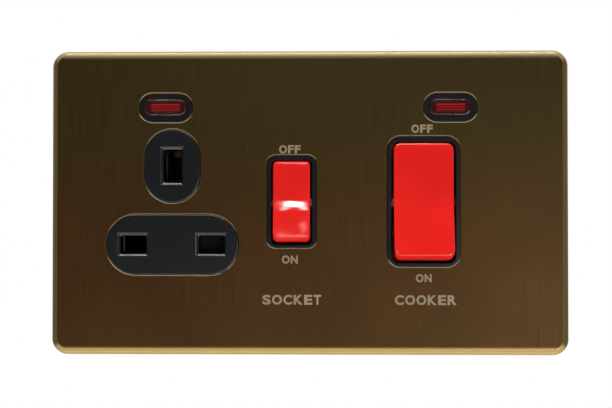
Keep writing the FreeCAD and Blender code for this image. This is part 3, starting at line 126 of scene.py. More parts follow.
def linear(hex_colour: str) -> Colour:
    """Turn an sRGB hex colour into linear RGBA.

    Args:
        hex_colour: Colour as "#rrggbb".

    Returns:
        Linear red, green, blue and an alpha of 1.
    """
    channels = [int(hex_colour[start:start + 2], 16) / 255 for start in (1, 3, 5)]
    red, green, blue = (
        value / 12.92 if value <= 0.04045 else ((value + 0.055) / 1.055) ** 2.4 for value in channels
    )
    return red, green, blue, 1.0


def per_size(size_mm: float) -> float:
    """Texture scale at which one feature of a pattern is about this size."""
    return 1.0 / (size_mm * MM)


def add_node(
    tree: Tree, kind: str, inputs: Optional[dict] = None, **settings: Any
) -> bpy.types.Node:
    """Add a shader node, set its properties, and fill or link its inputs.

    Args:
        tree: Node tree that takes the node.
        kind: Node type, such as "ShaderNodeTexNoise".
        inputs: Input name or number to a value, or to the output socket that feeds it.
        settings: Node properties.

    Returns:
        The new node.
    """
    node = tree.nodes.new(kind)
    for name, value in settings.items():
        setattr(node, name, value)
    for name, value in (inputs or {}).items():
        if isinstance(value, Socket):
            tree.links.new(value, node.inputs[name])
        else:
            node.inputs[name].default_value = value
    return node


def new_surface(name: str) -> tuple[bpy.types.Material, Tree, bpy.types.Node]:
    """Make a material with one Principled shader.

    Args:
        name: Name of the material.

    Returns:
        The material, its node tree and its shader node.
    """
    material = bpy.data.materials.new(name)
    material.use_nodes = True
    tree = material.node_tree
    return material, tree, tree.nodes["Principled BSDF"]


def stretched_noise(tree: Tree, sizes_mm: Triple, detail: float) -> Socket:
    """Noise in object space whose features have a size of their own along each axis.

    Args:
        tree: Node tree that takes the nodes.
        sizes_mm: Feature size along X, Y and Z.
        detail: Octaves of finer noise.

    Returns:
        The noise value's socket.
    """
    place = add_node(tree, "ShaderNodeTexCoord").outputs["Object"]
    scale = tuple(per_size(size) for size in sizes_mm)
    mapped = add_node(tree, "ShaderNodeMapping", {"Vector": place, "Scale": scale}).outputs[0]
    inputs = {"Vector": mapped, "Scale": 1.0, "Detail": detail}
    return add_node(tree, "ShaderNodeTexNoise", inputs).outputs[0]


def mottled(tree: Tree, noise: Socket, first: Colour, second: Colour, span: Pair = NOISE_SPAN) -> Socket:
    """Let a colour wander between two colours with a noise.

    Args:
        tree: Node tree that takes the nodes.
        noise: The noise value's socket.
        first: Linear colour where the noise is low.
        second: Linear colour where the noise is high.
        span: Noise values at which each colour is pure.

    Returns:
        The colour's socket.
    """
    share = add_node(tree, "ShaderNodeMapRange", {0: noise, 1: span[0], 2: span[1]}, **SOFT).outputs[0]
    return add_node(tree, "ShaderNodeMix", {0: share, 6: first, 7: second}, **BLEND).outputs[2]


@dataclass(frozen=True)
class Relief:
    """How deep the lines or grains of a surface are, and how much of them shows."""

    depth_mm: float
    strength: float


def textured(tree: Tree, shader: bpy.types.Node, noise: Socket, gloss: Pair, relief: Relief) -> None:
    """Let a noise vary the gloss and the relief of a surface together.

    Args:
        tree: Node tree of the shader.
        shader: Principled shader.
        noise: The noise value's socket.
        gloss: Roughness where the noise is low, and where it is high.
        relief: The relief that the noise gives.
    """
    low, high = NOISE_SPAN
    inputs = {0: noise, 1: low, 2: high, 3: gloss[0], 4: gloss[1]}
    rough = add_node(tree, "ShaderNodeMapRange", inputs, **SOFT)
    tree.links.new(rough.outputs[0], shader.inputs["Roughness"])
    inputs = {"Height": noise, "Distance": relief.depth_mm * MM, "Strength": relief.strength}
    bump = add_node(tree, "ShaderNodeBump", inputs)
    tree.links.new(bump.outputs[0], shader.inputs["Normal"])


@dataclass(frozen=True)
class Specks:
    """Small round specks, on only some of the cells of a pattern."""

    colour: str
    pitch_mm: float
    radius_mm: float
    share: float
    strength: float

    def over(self, tree: Tree, colour: Socket) -> Socket:
        """Lay the specks over a colour.

        Args:
            tree: Node tree that takes the nodes.
            colour: The colour's socket.

        Returns:
            Socket of the colour with its specks.
        """
        place = add_node(tree, "ShaderNodeTexCoord").outputs["Object"]
        cells = add_node(tree, "ShaderNodeTexVoronoi", {"Vector": place, "Scale": per_size(self.pitch_mm)})
        edge = self.radius_mm / self.pitch_mm
        inputs = {0: cells.outputs["Distance"], 1: edge, 2: 0.5 * edge}
        inside = add_node(tree, "ShaderNodeMapRange", inputs, **SOFT).outputs[0]
        chance = add_node(tree, "ShaderNodeSeparateColor", {0: cells.outputs["Color"]}).outputs[0]
        inputs = {0: chance, 1: self.share}
        chosen = add_node(tree, "ShaderNodeMath", inputs, operation="LESS_THAN").outputs[0]
        inputs = {0: inside, 1: chosen}
        specks = add_node(tree, "ShaderNodeMath", inputs, operation="MULTIPLY").outputs[0]
        inputs = {0: specks, 1: self.strength}
        faint = add_node(tree, "ShaderNodeMath", inputs, operation="MULTIPLY").outputs[0]
        inputs = {0: faint, 6: colour, 7: linear(self.colour)}
        return add_node(tree, "ShaderNodeMix", inputs, **BLEND).outputs[2]


class Finish:
    """A surface finish that makes its material once."""

    name: str

    def material(self) -> bpy.types.Material:
        """The finish's material, made at its first use."""
        return bpy.data.materials.get(self.name) or self.build()

    def build(self) -> bpy.types.Material:
        """Make the material."""
        raise NotImplementedError


@dataclass(frozen=True)
class AntiqueBronze(Finish):
    """Brass sheet, brushed up and down, stained dark, and relieved to bare brass at its edges, which carry
    painted light: brighter on the lower rim and the aperture lips, darker on the sides and in the aperture
    walls.

    The brush lines are drawn about three times as wide as real ones, so that they show.
    """

    name: str = "antique_bronze_brushed"
    face: str = "#3d2911"
    tone: str = "#432c13"
    upper_face: str = "#382d14"
    # Painted light: the rim's edges are darker and greyer in the upper half, brighter and yellower in the
    # lower half.
    top_edge: str = "#8d7c58"
    low_edge: str = "#a68d56"
    # Painted shade: edges that face sideways are darker.
    side_edge: str = "#5f4f2f"
    # Painted highlight on the aperture lips, brighter on the lower lips that face up.
    upper_lip: str = "#c2ad80"
    lower_lip: str = "#f0dfb6"
    # Painted shade on the aperture walls.
    inner_wall: str = "#2b200f"
    rim_mm: float = 4.3
    worn_mm: Pair = (1.2, 2.7)
    worn_facing: Pair = (0.97, 0.998)
    down_facing_reach: float = 0.12
    lip_turn: Pair = (-0.2, 0.2)
    wall_turn: Pair = (0.2, 0.5)
    side_share: float = 0.5
    olive_mm: Pair = (-14.0, 30.0)
    cloud_mm: float = 30.0
    brush_mm: Triple = (0.3, 5.0, 16.0)
    brush_relief: Relief = Relief(depth_mm=0.02, strength=0.12)
    streak: Pair = (0.94, 1.05)
    gloss: Pair = (0.34, 0.46)
    metallic: Pair = (0.4, 0.6)
    shine: float = 0.12
    specks: Specks = Specks("#8d754a", pitch_mm=6.0, radius_mm=0.25, share=0.35, strength=0.35)

    def build(self) -> bpy.types.Material:
        """Dark satin face with faint upright brush lines, a few specks, and bright rounded edges with
        painted highlights and painted shade.
        """
        material, tree, shader = new_surface(self.name)
        brush = stretched_noise(tree, self.brush_mm, 2.0)
        place = add_node(tree, "ShaderNodeTexCoord").outputs["Object"]
        normal = add_node(tree, "ShaderNodeNewGeometry").outputs["Normal"]
        slope = add_node(tree, "ShaderNodeSeparateXYZ", {0: normal}).outputs
        facing = add_node(tree, "ShaderNodeMath", {0: slope[1]}, operation="ABSOLUTE").outputs[0]
        inward = self.to_outline(tree, place)
        stain = self.stain_left(tree, slope[2], facing, inward[2])
        face = self.stained_face(tree, place, brush)
        rim = self.rim_painted_light(tree, place)
        edge = self.with_lips(tree, rim, slope[2], facing, inward)
        edge = self.with_sides(tree, edge, slope)
        colour = add_node(tree, "ShaderNodeMix", {0: stain, 6: edge, 7: face}, **BLEND)
        tree.links.new(colour.outputs[2], shader.inputs["Base Color"])
        inputs = {0: stain, 3: self.metallic[0], 4: self.metallic[1]}
        metal = add_node(tree, "ShaderNodeMapRange", inputs, **SOFT)
        tree.links.new(metal.outputs[0], shader.inputs["Metallic"])
        shader.inputs["Specular IOR Level"].default_value = self.shine
        textured(tree, shader, brush, self.gloss, self.brush_relief)
        return material

    def to_outline(self, tree: Tree, place: Socket) -> Sequence[Socket]:
        """Measure how far inside the plate's outline a point lies.

        Args:
            tree: Node tree that takes the nodes.
            place: Socket of the point's place.

        Returns:
            Sockets of the distance, across the plate, through it and up it.
        """
        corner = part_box("front_plate")[1]
        outward = add_node(tree, "ShaderNodeVectorMath", {0: place}, operation="ABSOLUTE").outputs[0]
        inputs = {0: corner, 1: outward}
        inward = add_node(tree, "ShaderNodeVectorMath", inputs, operation="SUBTRACT").outputs[0]
        return add_node(tree, "ShaderNodeSeparateXYZ", {0: inward}).outputs

    def stain_left(self, tree: Tree, up: Socket, facing: Socket, from_end: Socket) -> Socket:
        """Work out where the stain is left and where it is polished off.

        Args:
            tree: Node tree that takes the nodes.
            up: How far the surface faces up.
            facing: How far it faces the front or the back.
            from_end: Distance to the nearer of the plate's top and bottom.

        Returns:
            Socket that is 1 on the stain and 0 on bare brass.
        """
        # Bare brass reaches further in along edges that face down than along those that face up.
        inputs = {0: up, 1: self.down_facing_reach, 2: facing}
        tilt = add_node(tree, "ShaderNodeMath", inputs, operation="MULTIPLY_ADD").outputs[0]
        inputs = {0: tilt, 1: self.worn_facing[0], 2: self.worn_facing[1]}
        flat = add_node(tree, "ShaderNodeMapRange", inputs, **SOFT).outputs[0]
        # Along the top and the bottom it thins out a little before the rounding starts.
        inputs = {0: from_end, 1: self.worn_mm[0] * MM, 2: self.worn_mm[1] * MM}
        thinned = add_node(tree, "ShaderNodeMapRange", inputs, **SOFT).outputs[0]
        return add_node(tree, "ShaderNodeMath", {0: flat, 1: thinned}, operation="MINIMUM").outputs[0]

    def stained_face(self, tree: Tree, place: Socket, brush: Socket) -> Socket:
        """Colour the stained face: brown with soft clouds, brush lines and specks.

        Args:
            tree: Node tree that takes the nodes.
            place: Socket of the point's place.
            brush: Socket of the brush lines.

        Returns:
            The colour's socket.
        """
        cloud = stretched_noise(tree, (self.cloud_mm,) * 3, 1.0)
        face = mottled(tree, cloud, linear(self.face), linear(self.tone))
        # The stain turns a little more olive towards the top.
        height = add_node(tree, "ShaderNodeSeparateXYZ", {0: place}).outputs[2]
        inputs = {0: height, 1: self.olive_mm[0] * MM, 2: self.olive_mm[1] * MM}
        olive = add_node(tree, "ShaderNodeMapRange", inputs, **SOFT).outputs[0]
        inputs = {0: olive, 6: face, 7: linear(self.upper_face)}
        face = add_node(tree, "ShaderNodeMix", inputs, **BLEND).outputs[2]
        low, high = NOISE_SPAN
        inputs = {0: brush, 1: low, 2: high, 3: self.streak[0], 4: self.streak[1]}
        streak = add_node(tree, "ShaderNodeMapRange", inputs, **SOFT).outputs[0]
        face = add_node(tree, "ShaderNodeHueSaturation", {"Value": streak, "Color": face}).outputs[0]
        return self.specks.over(tree, face)

    def rim_painted_light(self, tree: Tree, place: Socket) -> Socket:
        """Colour the plate's rim with painted light: brighter, yellower brass in the lower half and darker
        brass in the upper one.
        """
        height = add_node(tree, "ShaderNodeSeparateXYZ", {0: place}).outputs[2]
        half = add_node(tree, "ShaderNodeMapRange", {0: height, 1: -MM, 2: MM}, **SOFT).outputs[0]
        inputs = {0: half, 6: linear(self.low_edge), 7: linear(self.top_edge)}
        return add_node(tree, "ShaderNodeMix", inputs, **BLEND).outputs[2]

    def with_lips(
        self, tree: Tree, rim: Socket, up: Socket, facing: Socket, inward: Sequence[Socket]
    ) -> Socket:
        """Colour the lips of the apertures with painted highlights, brighter than the rim and brightest on
        the lower lips that face up, and their walls dark as painted shade.

        Args:
            tree: Node tree that takes the nodes.
            rim: Socket of the rim's colour.
            up: How far the surface faces up.
            facing: How far it faces the front or the back.
            inward: Distances from the plate's outline.

        Returns:
            Socket of the colour of rim and lips.
        """
        # Painted highlight: lips that face up, at the bottom of each aperture, are brighter than those that
        # face down.
        inputs = {0: up, 1: self.lip_turn[0], 2: self.lip_turn[1]}
        upward = add_node(tree, "ShaderNodeMapRange", inputs, **SOFT).outputs[0]
        inputs = {0: upward, 6: linear(self.upper_lip), 7: linear(self.lower_lip)}
        lip = add_node(tree, "ShaderNodeMix", inputs, **BLEND).outputs[2]
        # Painted shade: the aperture walls, which face neither front nor back, are dark.
        inputs = {0: facing, 1: self.wall_turn[0], 2: self.wall_turn[1]}
        rounded = add_node(tree, "ShaderNodeMapRange", inputs, **SOFT).outputs[0]
        inputs = {0: rounded, 6: linear(self.inner_wall), 7: lip}
        lip = add_node(tree, "ShaderNodeMix", inputs, **BLEND).outputs[2]
        inputs = {0: inward[0], 1: inward[2]}
        nearest = add_node(tree, "ShaderNodeMath", inputs, operation="MINIMUM").outputs[0]
        inputs = {0: nearest, 1: self.rim_mm * MM}
        on_lip = add_node(tree, "ShaderNodeMath", inputs, operation="GREATER_THAN").outputs[0]
        return add_node(tree, "ShaderNodeMix", {0: on_lip, 6: rim, 7: lip}, **BLEND).outputs[2]

    def with_sides(self, tree: Tree, edge: Socket, slope: Sequence[Socket]) -> Socket:
        """Colour the edges that face sideways darker, as painted shade.

        Args:
            tree: Node tree that takes the nodes.
            edge: Socket of the edges' colour.
            slope: Sockets of the surface's normal.

        Returns:
            The colour's socket.
        """
        across = add_node(tree, "ShaderNodeMath", {0: slope[0]}, operation="ABSOLUTE").outputs[0]
        along = add_node(tree, "ShaderNodeMath", {0: slope[2]}, operation="ABSOLUTE").outputs[0]
        more = add_node(tree, "ShaderNodeMath", {0: across, 1: along}, operation="SUBTRACT").outputs[0]
        both = add_node(tree, "ShaderNodeMath", {0: across, 1: along}, operation="ADD").outputs[0]
        share = add_node(tree, "ShaderNodeMath", {0: more, 1: both}, operation="DIVIDE").outputs[0]
        inputs = {0: share, 1: 0.0, 2: self.side_share}
        aside = add_node(tree, "ShaderNodeMapRange", inputs, **SOFT).outputs[0]
        inputs = {0: aside, 6: edge, 7: linear(self.side_edge)}
        return add_node(tree, "ShaderNodeMix", inputs, **BLEND).outputs[2]


@dataclass(frozen=True)
class MouldedPlastic(Finish):
    """Moulded plastic, ceramic or ink with a fine grain, drawn coarser than a real one so that it shows."""

    name: str
    colour: str
    tint: str
    roughness: float
    grain_mm: float = 0.25
    grain_depth_mm: float = 0.01
    grain_strength: float = 0.25
    gloss_spread: float = 0.08
    cloud_mm: float = 9.0
    ior: float = 1.49
    shine: float = 0.5
    dust: Optional[Specks] = None

    def build(self) -> bpy.types.Material:
        """Even colour with soft clouding, a fine grain, and a few specks of dust where asked."""
        material, tree, shader = new_surface(self.name)
        cloud = stretched_noise(tree, (self.cloud_mm,) * 3, 2.0)
        colour = mottled(tree, cloud, linear(self.colour), linear(self.tint))
        if self.dust:
            colour = self.dust.over(tree, colour)
        tree.links.new(colour, shader.inputs["Base Color"])
        shader.inputs["IOR"].default_value = self.ior
        shader.inputs["Specular IOR Level"].default_value = self.shine
        grain = stretched_noise(tree, (self.grain_mm,) * 3, 1.0)
        gloss = tuple(self.roughness * (1.0 + way * self.gloss_spread) for way in (-1, 1))
        textured(tree, shader, grain, gloss, Relief(self.grain_depth_mm, self.grain_strength))
        return material


@dataclass(frozen=True)
class ClearPlastic(Finish):
    """Tinted clear plastic or glass, with slight ripples from its mould."""

    name: str
    colour: str
    roughness: float
    ior: float
    clearness: float = 0.0
    cover: float = 1.0
    shine: float = 0.5
    depth: float = 0.75
    ripple_mm: float = 2.5
    ripple_relief: Relief = Relief(depth_mm=0.01, strength=0.03)

    def build(self) -> bpy.types.Material:
        """See-through tinted surface with a clear gloss."""
        material, tree, shader = new_surface(self.name)
        ripple = stretched_noise(tree, (self.ripple_mm,) * 3, 1.0)
        pale = linear(self.colour)
        deep = tuple(self.depth * value for value in pale[:3]) + (1.0,)
        tree.links.new(mottled(tree, ripple, pale, deep), shader.inputs["Base Color"])
        shader.inputs["Roughness"].default_value = self.roughness
        shader.inputs["IOR"].default_value = self.ior
        shader.inputs["Transmission Weight"].default_value = self.clearness
        shader.inputs["Alpha"].default_value = self.cover
        shader.inputs["Specular IOR Level"].default_value = self.shine
        relief = self.ripple_relief
        inputs = {"Height": ripple, "Distance": relief.depth_mm * MM, "Strength": relief.strength}
        bump = add_node(tree, "ShaderNodeBump", inputs)
        tree.links.new(bump.outputs[0], shader.inputs["Normal"])
        return material


@dataclass(frozen=True)
class RolledMetal(Finish):
    """Bare sheet, wire or turned metal with fine drawing lines, drawn coarser so that they show."""

    name: str
    colour: str
    shade: str
    roughness: float
    gloss_spread: float = 0.2
    line_mm: Triple = (0.2, 0.2, 3.0)
    line_relief: Relief = Relief(depth_mm=0.01, strength=0.2)
    stain_mm: float = 3.0
    stain_span: Pair = (0.35, 0.7)

    def build(self) -> bpy.types.Material:
        """Bright metal, slightly uneven in tone, with fine lines in its gloss."""
        material, tree, shader = new_surface(self.name)
        stain = stretched_noise(tree, (self.stain_mm,) * 3, 3.0)
        colour = mottled(tree, stain, linear(self.colour), linear(self.shade), self.stain_span)
        tree.links.new(colour, shader.inputs["Base Color"])
        shader.inputs["Metallic"].default_value = 1.0
        lines = stretched_noise(tree, self.line_mm, 2.0)
        gloss = tuple(self.roughness * (1.0 + way * self.gloss_spread) for way in (-1, 1))
        textured(tree, shader, lines, gloss, self.line_relief)
        return material


# Stained brass sheet: dark brown satin, with bare brass along each rounded edge, painted brighter on the
# lower edges and lips and darker on the sides and aperture walls.
BRONZE = AntiqueBronze()
# Dust from handling: a few pale points.
DUST = Specks("#8a8a88", pitch_mm=3.2, radius_mm=0.16, share=0.3, strength=0.3)
# Urea from a smooth tool: near-black with an even, weak sheen.
BLACK_MATT = MouldedPlastic(
    "urea_black_matt", "#07090d", "#0b0d11", 0.22, grain_depth_mm=0.001, dust=DUST
)
# Polycarbonate from a satin tool: black that gives back little light.
BLACK_SATIN = MouldedPlastic(
    "polycarbonate_black_satin", "#0e0b0b", "#131010", 0.26, grain_depth_mm=0.002, shine=0.22
)
# Urea from a plain tool: dark grey and dull, as the back of such a unit is.
BASE_BLACK = MouldedPlastic("urea_black_base", "#1d1d1f", "#28282a", 0.55, grain_mm=0.4)
# Polycarbonate from a polished tool: strong red, with clear white lights.
RED_GLOSS = MouldedPlastic(
    "polycarbonate_red_gloss", "#cd1813", "#d41c17", 0.05, grain_mm=1.6, grain_depth_mm=0.001
)
# Dyed nylon: so dark and dull that the pin holes look deep.
NYLON_DARK = MouldedPlastic("nylon_black", "#040405", "#070708", 0.6, shine=0.1)
# Undyed nylon: cream white and a little waxy.
NYLON_NATURAL = MouldedPlastic("nylon_natural", "#d8d3c4", "#cfc9b6", 0.42)
# Printed ink: flat beige without gloss.
PRINT = MouldedPlastic(
    "printed_ink_beige", "#88785c", "#7e6e53", 0.55, grain_mm=0.2, grain_depth_mm=0.004
)
# Glazed ceramic: tan with a soft light on it.
CERAMIC = MouldedPlastic("glazed_ceramic_tan", "#a88f68", "#9a8159", 0.3)
# Clear red polycarbonate: a dark red skin with thin light lines, through which the window shows.
RED_CLEAR = ClearPlastic("polycarbonate_red_clear", "#430306", 0.1, 1.58, cover=0.5, shine=0.9)
# Ribbed red polycarbonate: an even deep red between the ribs and under them.
RED_RIBBED = MouldedPlastic("polycarbonate_red_ribbed", "#a00203", "#960203", 0.3, shine=0.08)
# The same where the light falls on it: a bright red line on the upper slope of each rib.
RED_CREST = MouldedPlastic("polycarbonate_red_crest", "#ff1e10", "#f8180c", 0.3, shine=0.08)
# Soda glass: clear, with small bright lights.
GLASS_CLEAR = ClearPlastic("soda_glass_clear", "#f2f4f2", 0.03, 1.52, clearness=1.0)
# Rolled brass: yellow, with fine lines along the strip.
BRASS_BRIGHT = RolledMetal("brass_rolled", "#b8924f", "#9c7738", 0.3)
# Brass darkened to brown as painted shade: the contacts deep in the pin holes are hardly seen.
BRASS_PAINTED_SHADE = RolledMetal("brass_painted_shade", "#664a22", "#4f3818", 0.4)
# Zinc-plated steel: pale grey and slightly milky.
STEEL_ZINC = RolledMetal("steel_zinc_plated", "#b9babb", "#9fa1a3", 0.32)


@contextmanager
def editing(piece: Piece) -> Iterator[bmesh.types.BMesh]:
    """Open a piece alone in edit mode.

    Args:
        piece: Mesh object to edit.

    Yields:
        The mesh being edited.
    """
    select_only(piece)
    bpy.ops.object.mode_set(mode="EDIT")
    bpy.ops.mesh.select_all(action="DESELECT")
    yield bmesh.from_edit_mesh(piece.data)
    bpy.ops.object.mode_set(mode="OBJECT")


def select_only(*pieces: Piece) -> None:
    """Select some objects and nothing else, the first one active."""
    bpy.ops.object.select_all(action="DESELECT")
    for piece in pieces:
        piece.select_set(True)
    bpy.context.view_layer.objects.active = pieces[0]


def choose(piece: Piece, kind: Pick, wanted: Callable[[Any], bool]) -> int:
    """Select the edges or faces of the piece in edit mode that pass a test.

    Args:
        piece: Mesh object in edit mode.
        kind: Whether edges or faces are picked.
        wanted: Test of one edge or face.

    Returns:
        Number of them selected.
    """
    bpy.ops.mesh.select_mode(type=kind.value)
    bpy.ops.mesh.select_all(action="DESELECT")
    mesh = bmesh.from_edit_mesh(piece.data)
    mesh.normal_update()
    chosen = [found for found in (mesh.edges if kind is Pick.EDGE else mesh.faces) if wanted(found)]
    for found in chosen:
        found.select_set(True)
    bmesh.update_edit_mesh(piece.data)
    return len(chosen)


def cut_away(point: Triple, facing: Triple) -> None:
    """Cut the mesh in edit mode by a plane, drop what lies in front of the plane, and close the cut.

    Args:
        point: A point of the plane.
        facing: The plane's normal, towards what is dropped.
    """
    bpy.ops.mesh.select_all(action="SELECT")
    bpy.ops.mesh.bisect(
        plane_co=point, plane_no=facing, use_fill=True, clear_outer=True, threshold=0.1 * WELD
    )


def round_chosen(width_mm: float, segments: int) -> None:
    """Round the edges selected in edit mode."""
    bpy.ops.mesh.bevel(
        offset=width_mm * MM, offset_type="OFFSET", segments=segments, profile=0.5, affect="EDGES"
    )


def push_chosen(way: Triple) -> None:
    """Extrude the faces selected in edit mode by a vector in metres."""
    bpy.ops.mesh.extrude_region_move(TRANSFORM_OT_translate={"value": way})


def new_cylinder(
    name: str, radius_mm: float, length_mm: float, along: Along, sides: int = 48
) -> Piece:
    """Add a cylinder about the origin.

    Args:
        name: Name of the new piece.
        radius_mm: Its radius.
        length_mm: Its length.
        along: Axis that it lies along.
        sides: Number of its sides.

    Returns:
        The new piece.
    """
    bpy.ops.object.select_all(action="DESELECT")
    turn = {Along.X: (0.0, math.pi / 2, 0.0), Along.Y: (math.pi / 2, 0.0, 0.0)}[along]
    bpy.ops.mesh.primitive_cylinder_add(
        vertices=sides, radius=radius_mm * MM, depth=length_mm * MM, location=(0.0, 0.0, 0.0), rotation=turn
    )
    piece = bpy.context.object
    piece.name = name
    settle(piece)
    return piece


def new_block(name: str, sizes_mm: Triple) -> Piece:
    """Add a block about the origin.

    Args:
        name: Name of the new piece.
        sizes_mm: Its size along X, Y and Z.

    Returns:
        The new piece.
    """
    bpy.ops.object.select_all(action="DESELECT")
    bpy.ops.mesh.primitive_cube_add(size=1.0, location=(0.0, 0.0, 0.0))
    piece = bpy.context.object
    piece.name = name
    piece.scale = [size * MM for size in sizes_mm]
    settle(piece)
    return piece


def shift(
    piece: Piece, place_mm: Triple, tilt_deg: float = 0.0
) -> Piece:
    """Turn a piece about the X axis, then move it, and put both into its mesh.

    Args:
        piece: The piece.
        place_mm: How far it moves.
        tilt_deg: How far it turns.

    Returns:
        The same piece.
    """
    piece.rotation_euler = (math.radians(tilt_deg), 0.0, 0.0)
    piece.location = [value * MM for value in place_mm]
    settle(piece)
    return piece


def twin(piece: Piece) -> Piece:
    """Copy a piece, with a mesh of its own."""
    other = piece.copy()
    other.data = piece.data.copy()
    bpy.context.scene.collection.objects.link(other)
    return other


def joined(first: Piece, *others: Piece) -> Piece:
    """Join pieces into the first one."""
    select_only(first, *others)
    bpy.ops.object.join()
    return first


def carve(piece: Piece, cutter: Piece) -> None:
    """Take the cutter's solid out of a piece and delete the cutter."""
    boolean = piece.modifiers.new("carved", "BOOLEAN")
    boolean.object = cutter
    boolean.operation = "DIFFERENCE"
    apply_modifiers(piece)
    bpy.data.objects.remove(cutter, do_unlink=True)


def apply_modifiers(piece: Piece) -> None:
    """Apply all the modifiers of a piece, first to last."""
    select_only(piece)
    for modifier in list(piece.modifiers):
        bpy.ops.object.modifier_apply(modifier=modifier.name)


def settle(piece: Piece) -> None:
    """Put a piece's place, turn and size into its mesh."""
    select_only(piece)
    bpy.ops.object.transform_apply(location=True, rotation=True, scale=True)


def smooth(piece: Piece, angle_deg: float = 35.0) -> None:
    """Shade a piece smooth, with its flat faces kept flat beside small roundings."""
    select_only(piece)
    bpy.ops.object.shade_smooth_by_angle(angle=math.radians(angle_deg))
    weighted = piece.modifiers.new("flat faces", "WEIGHTED_NORMAL")
    weighted.keep_sharp = True
    apply_modifiers(piece)


@dataclass(frozen=True)
class Rounding:
    """How a piece's sharp edges are eased."""

    width_mm: float
    segments: int = 3
    angle_deg: float = 30.0


def merged_copy(node: str, name: str) -> Piece:
    """Copy a CAD node's mesh into a new piece, with its loose triangles merged into whole faces.

    Args:
        node: Name of the CAD node.
        name: Name of the new piece.

    Returns:
        The new piece.
    """
    piece = bpy.data.objects.new(name, frame["nodes"][node].data.copy())
    bpy.context.scene.collection.objects.link(piece)
    piece.data.materials.clear()
    with editing(piece):
        bpy.ops.mesh.customdata_custom_splitnormals_clear()
        bpy.ops.mesh.select_all(action="SELECT")
        bpy.ops.mesh.remove_doubles(threshold=WELD)
        bpy.ops.mesh.dissolve_limited(angle_limit=math.radians(0.5))
    return piece


def ease(piece: Piece, rounding: Rounding) -> None:
    """Ease a piece's sharp edges and shade it smooth.

    Args:
        piece: The piece.
        rounding: How its edges are eased.
    """
    bevel = piece.modifiers.new("eased edges", "BEVEL")
    bevel.width = rounding.width_mm * MM
    bevel.segments = rounding.segments
    bevel.limit_method = "ANGLE"
    bevel.angle_limit = math.radians(rounding.angle_deg)
    bevel.use_clamp_overlap = False
    apply_modifiers(piece)
    smooth(piece)


def dress(
    piece: Piece, body: Body, slot: Slot, finish: Finish, *stands_for: str
) -> Piece:
    """Give a finished piece its material and body.

    Args:
        piece: The finished piece.
        body: Body that it rides on.
        slot: The record's material slot; not used.
        finish: Its finish.
        stands_for: CAD nodes that it replaces.

    Returns:
        The same piece.
    """
    # A piece that has its materials already, such as a ribbed window, keeps them.
    if not piece.data.materials:
        piece.data.materials.append(finish.material())
    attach(piece, body.value)
    if stands_for:
        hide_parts(*stands_for)
    log.info("%s rides on %s", piece.name, body.value)
    return piece


def corners(places: Iterable[Vector]) -> tuple[Vector, Vector]:
    """Lowest and highest corner of the box round some points."""
    axes = list(zip(*places))
    return Vector(min(axis) for axis in axes), Vector(max(axis) for axis in axes)


def islands(node: str) -> list[tuple[Vector, Vector]]:
    """Boxes of the separate solids of a CAD node.

    Args:
        node: Name of the CAD node.

    Returns:
        Lowest and highest corner of each solid.
    """
    mesh = bmesh.new()
    mesh.from_mesh(frame["nodes"][node].data)
    bmesh.ops.remove_doubles(mesh, verts=mesh.verts, dist=WELD)
    waiting = set(mesh.verts)
    boxes = []
    while waiting:
        front = [waiting.pop()]
        found = list(front)
        while front:
            vertex = front.pop()
            for edge in vertex.link_edges:
                other = edge.other_vert(vertex)
                if other in waiting:
                    waiting.remove(other)
                    front.append(other)
                    found.append(other)
        boxes.append(corners(vertex.co for vertex in found))
    mesh.free()
    return sorted(boxes, key=lambda pair: tuple(pair[0]))


# Room that each letter of a plain bold face takes along its line, beside that of the others.
LETTER_ROOM = {
    "C": 1.01, "E": 0.93, "F": 0.85, "K": 1.01, "N": 1.01, "O": 1.09, "R": 1.01, "S": 0.93, "T": 0.85,
}
# How far a letter's outline is pushed out to make it bold, beside the height of its type.
LETTER_WEIGHT = 0.036


def upright_letter(sign: str, sizes_mm: Triple) -> Piece:
    """Make one upright letter about the origin, which reads from the front.

    Args:
        sign: The letter.
        sizes_mm: Its width, height and thickness.

    Returns:
        The letter's mesh.
    """
    bpy.ops.object.select_all(action="DESELECT")
    bpy.ops.object.text_add(location=(0.0, 0.0, 0.0))
    piece = bpy.context.object
    piece.data.body = sign
    piece.data.offset = LETTER_WEIGHT
    piece.data.extrude = 0.5
    piece.data.resolution_u = 6
    select_only(piece)
    bpy.ops.object.convert(target="MESH")
    piece = bpy.context.object
    low, high = corners(vertex.co for vertex in piece.data.vertices)
    piece.data.transform(Matrix.Translation(-(low + high) / 2))
    piece.scale = [size * MM / span for size, span in zip(sizes_mm, high - low)]
    settle(piece)
    with editing(piece):
        bpy.ops.mesh.select_all(action="SELECT")
        bpy.ops.mesh.remove_doubles(threshold=WELD)
    return shift(piece, (0.0, 0.0, 0.0), 90.0)


@dataclass(frozen=True)
class Word:
    """One printed word: its text, middle and size."""

    piece: str
    text: str
    x_mm: float
    z_mm: float
    width_mm: float
    height_mm: float


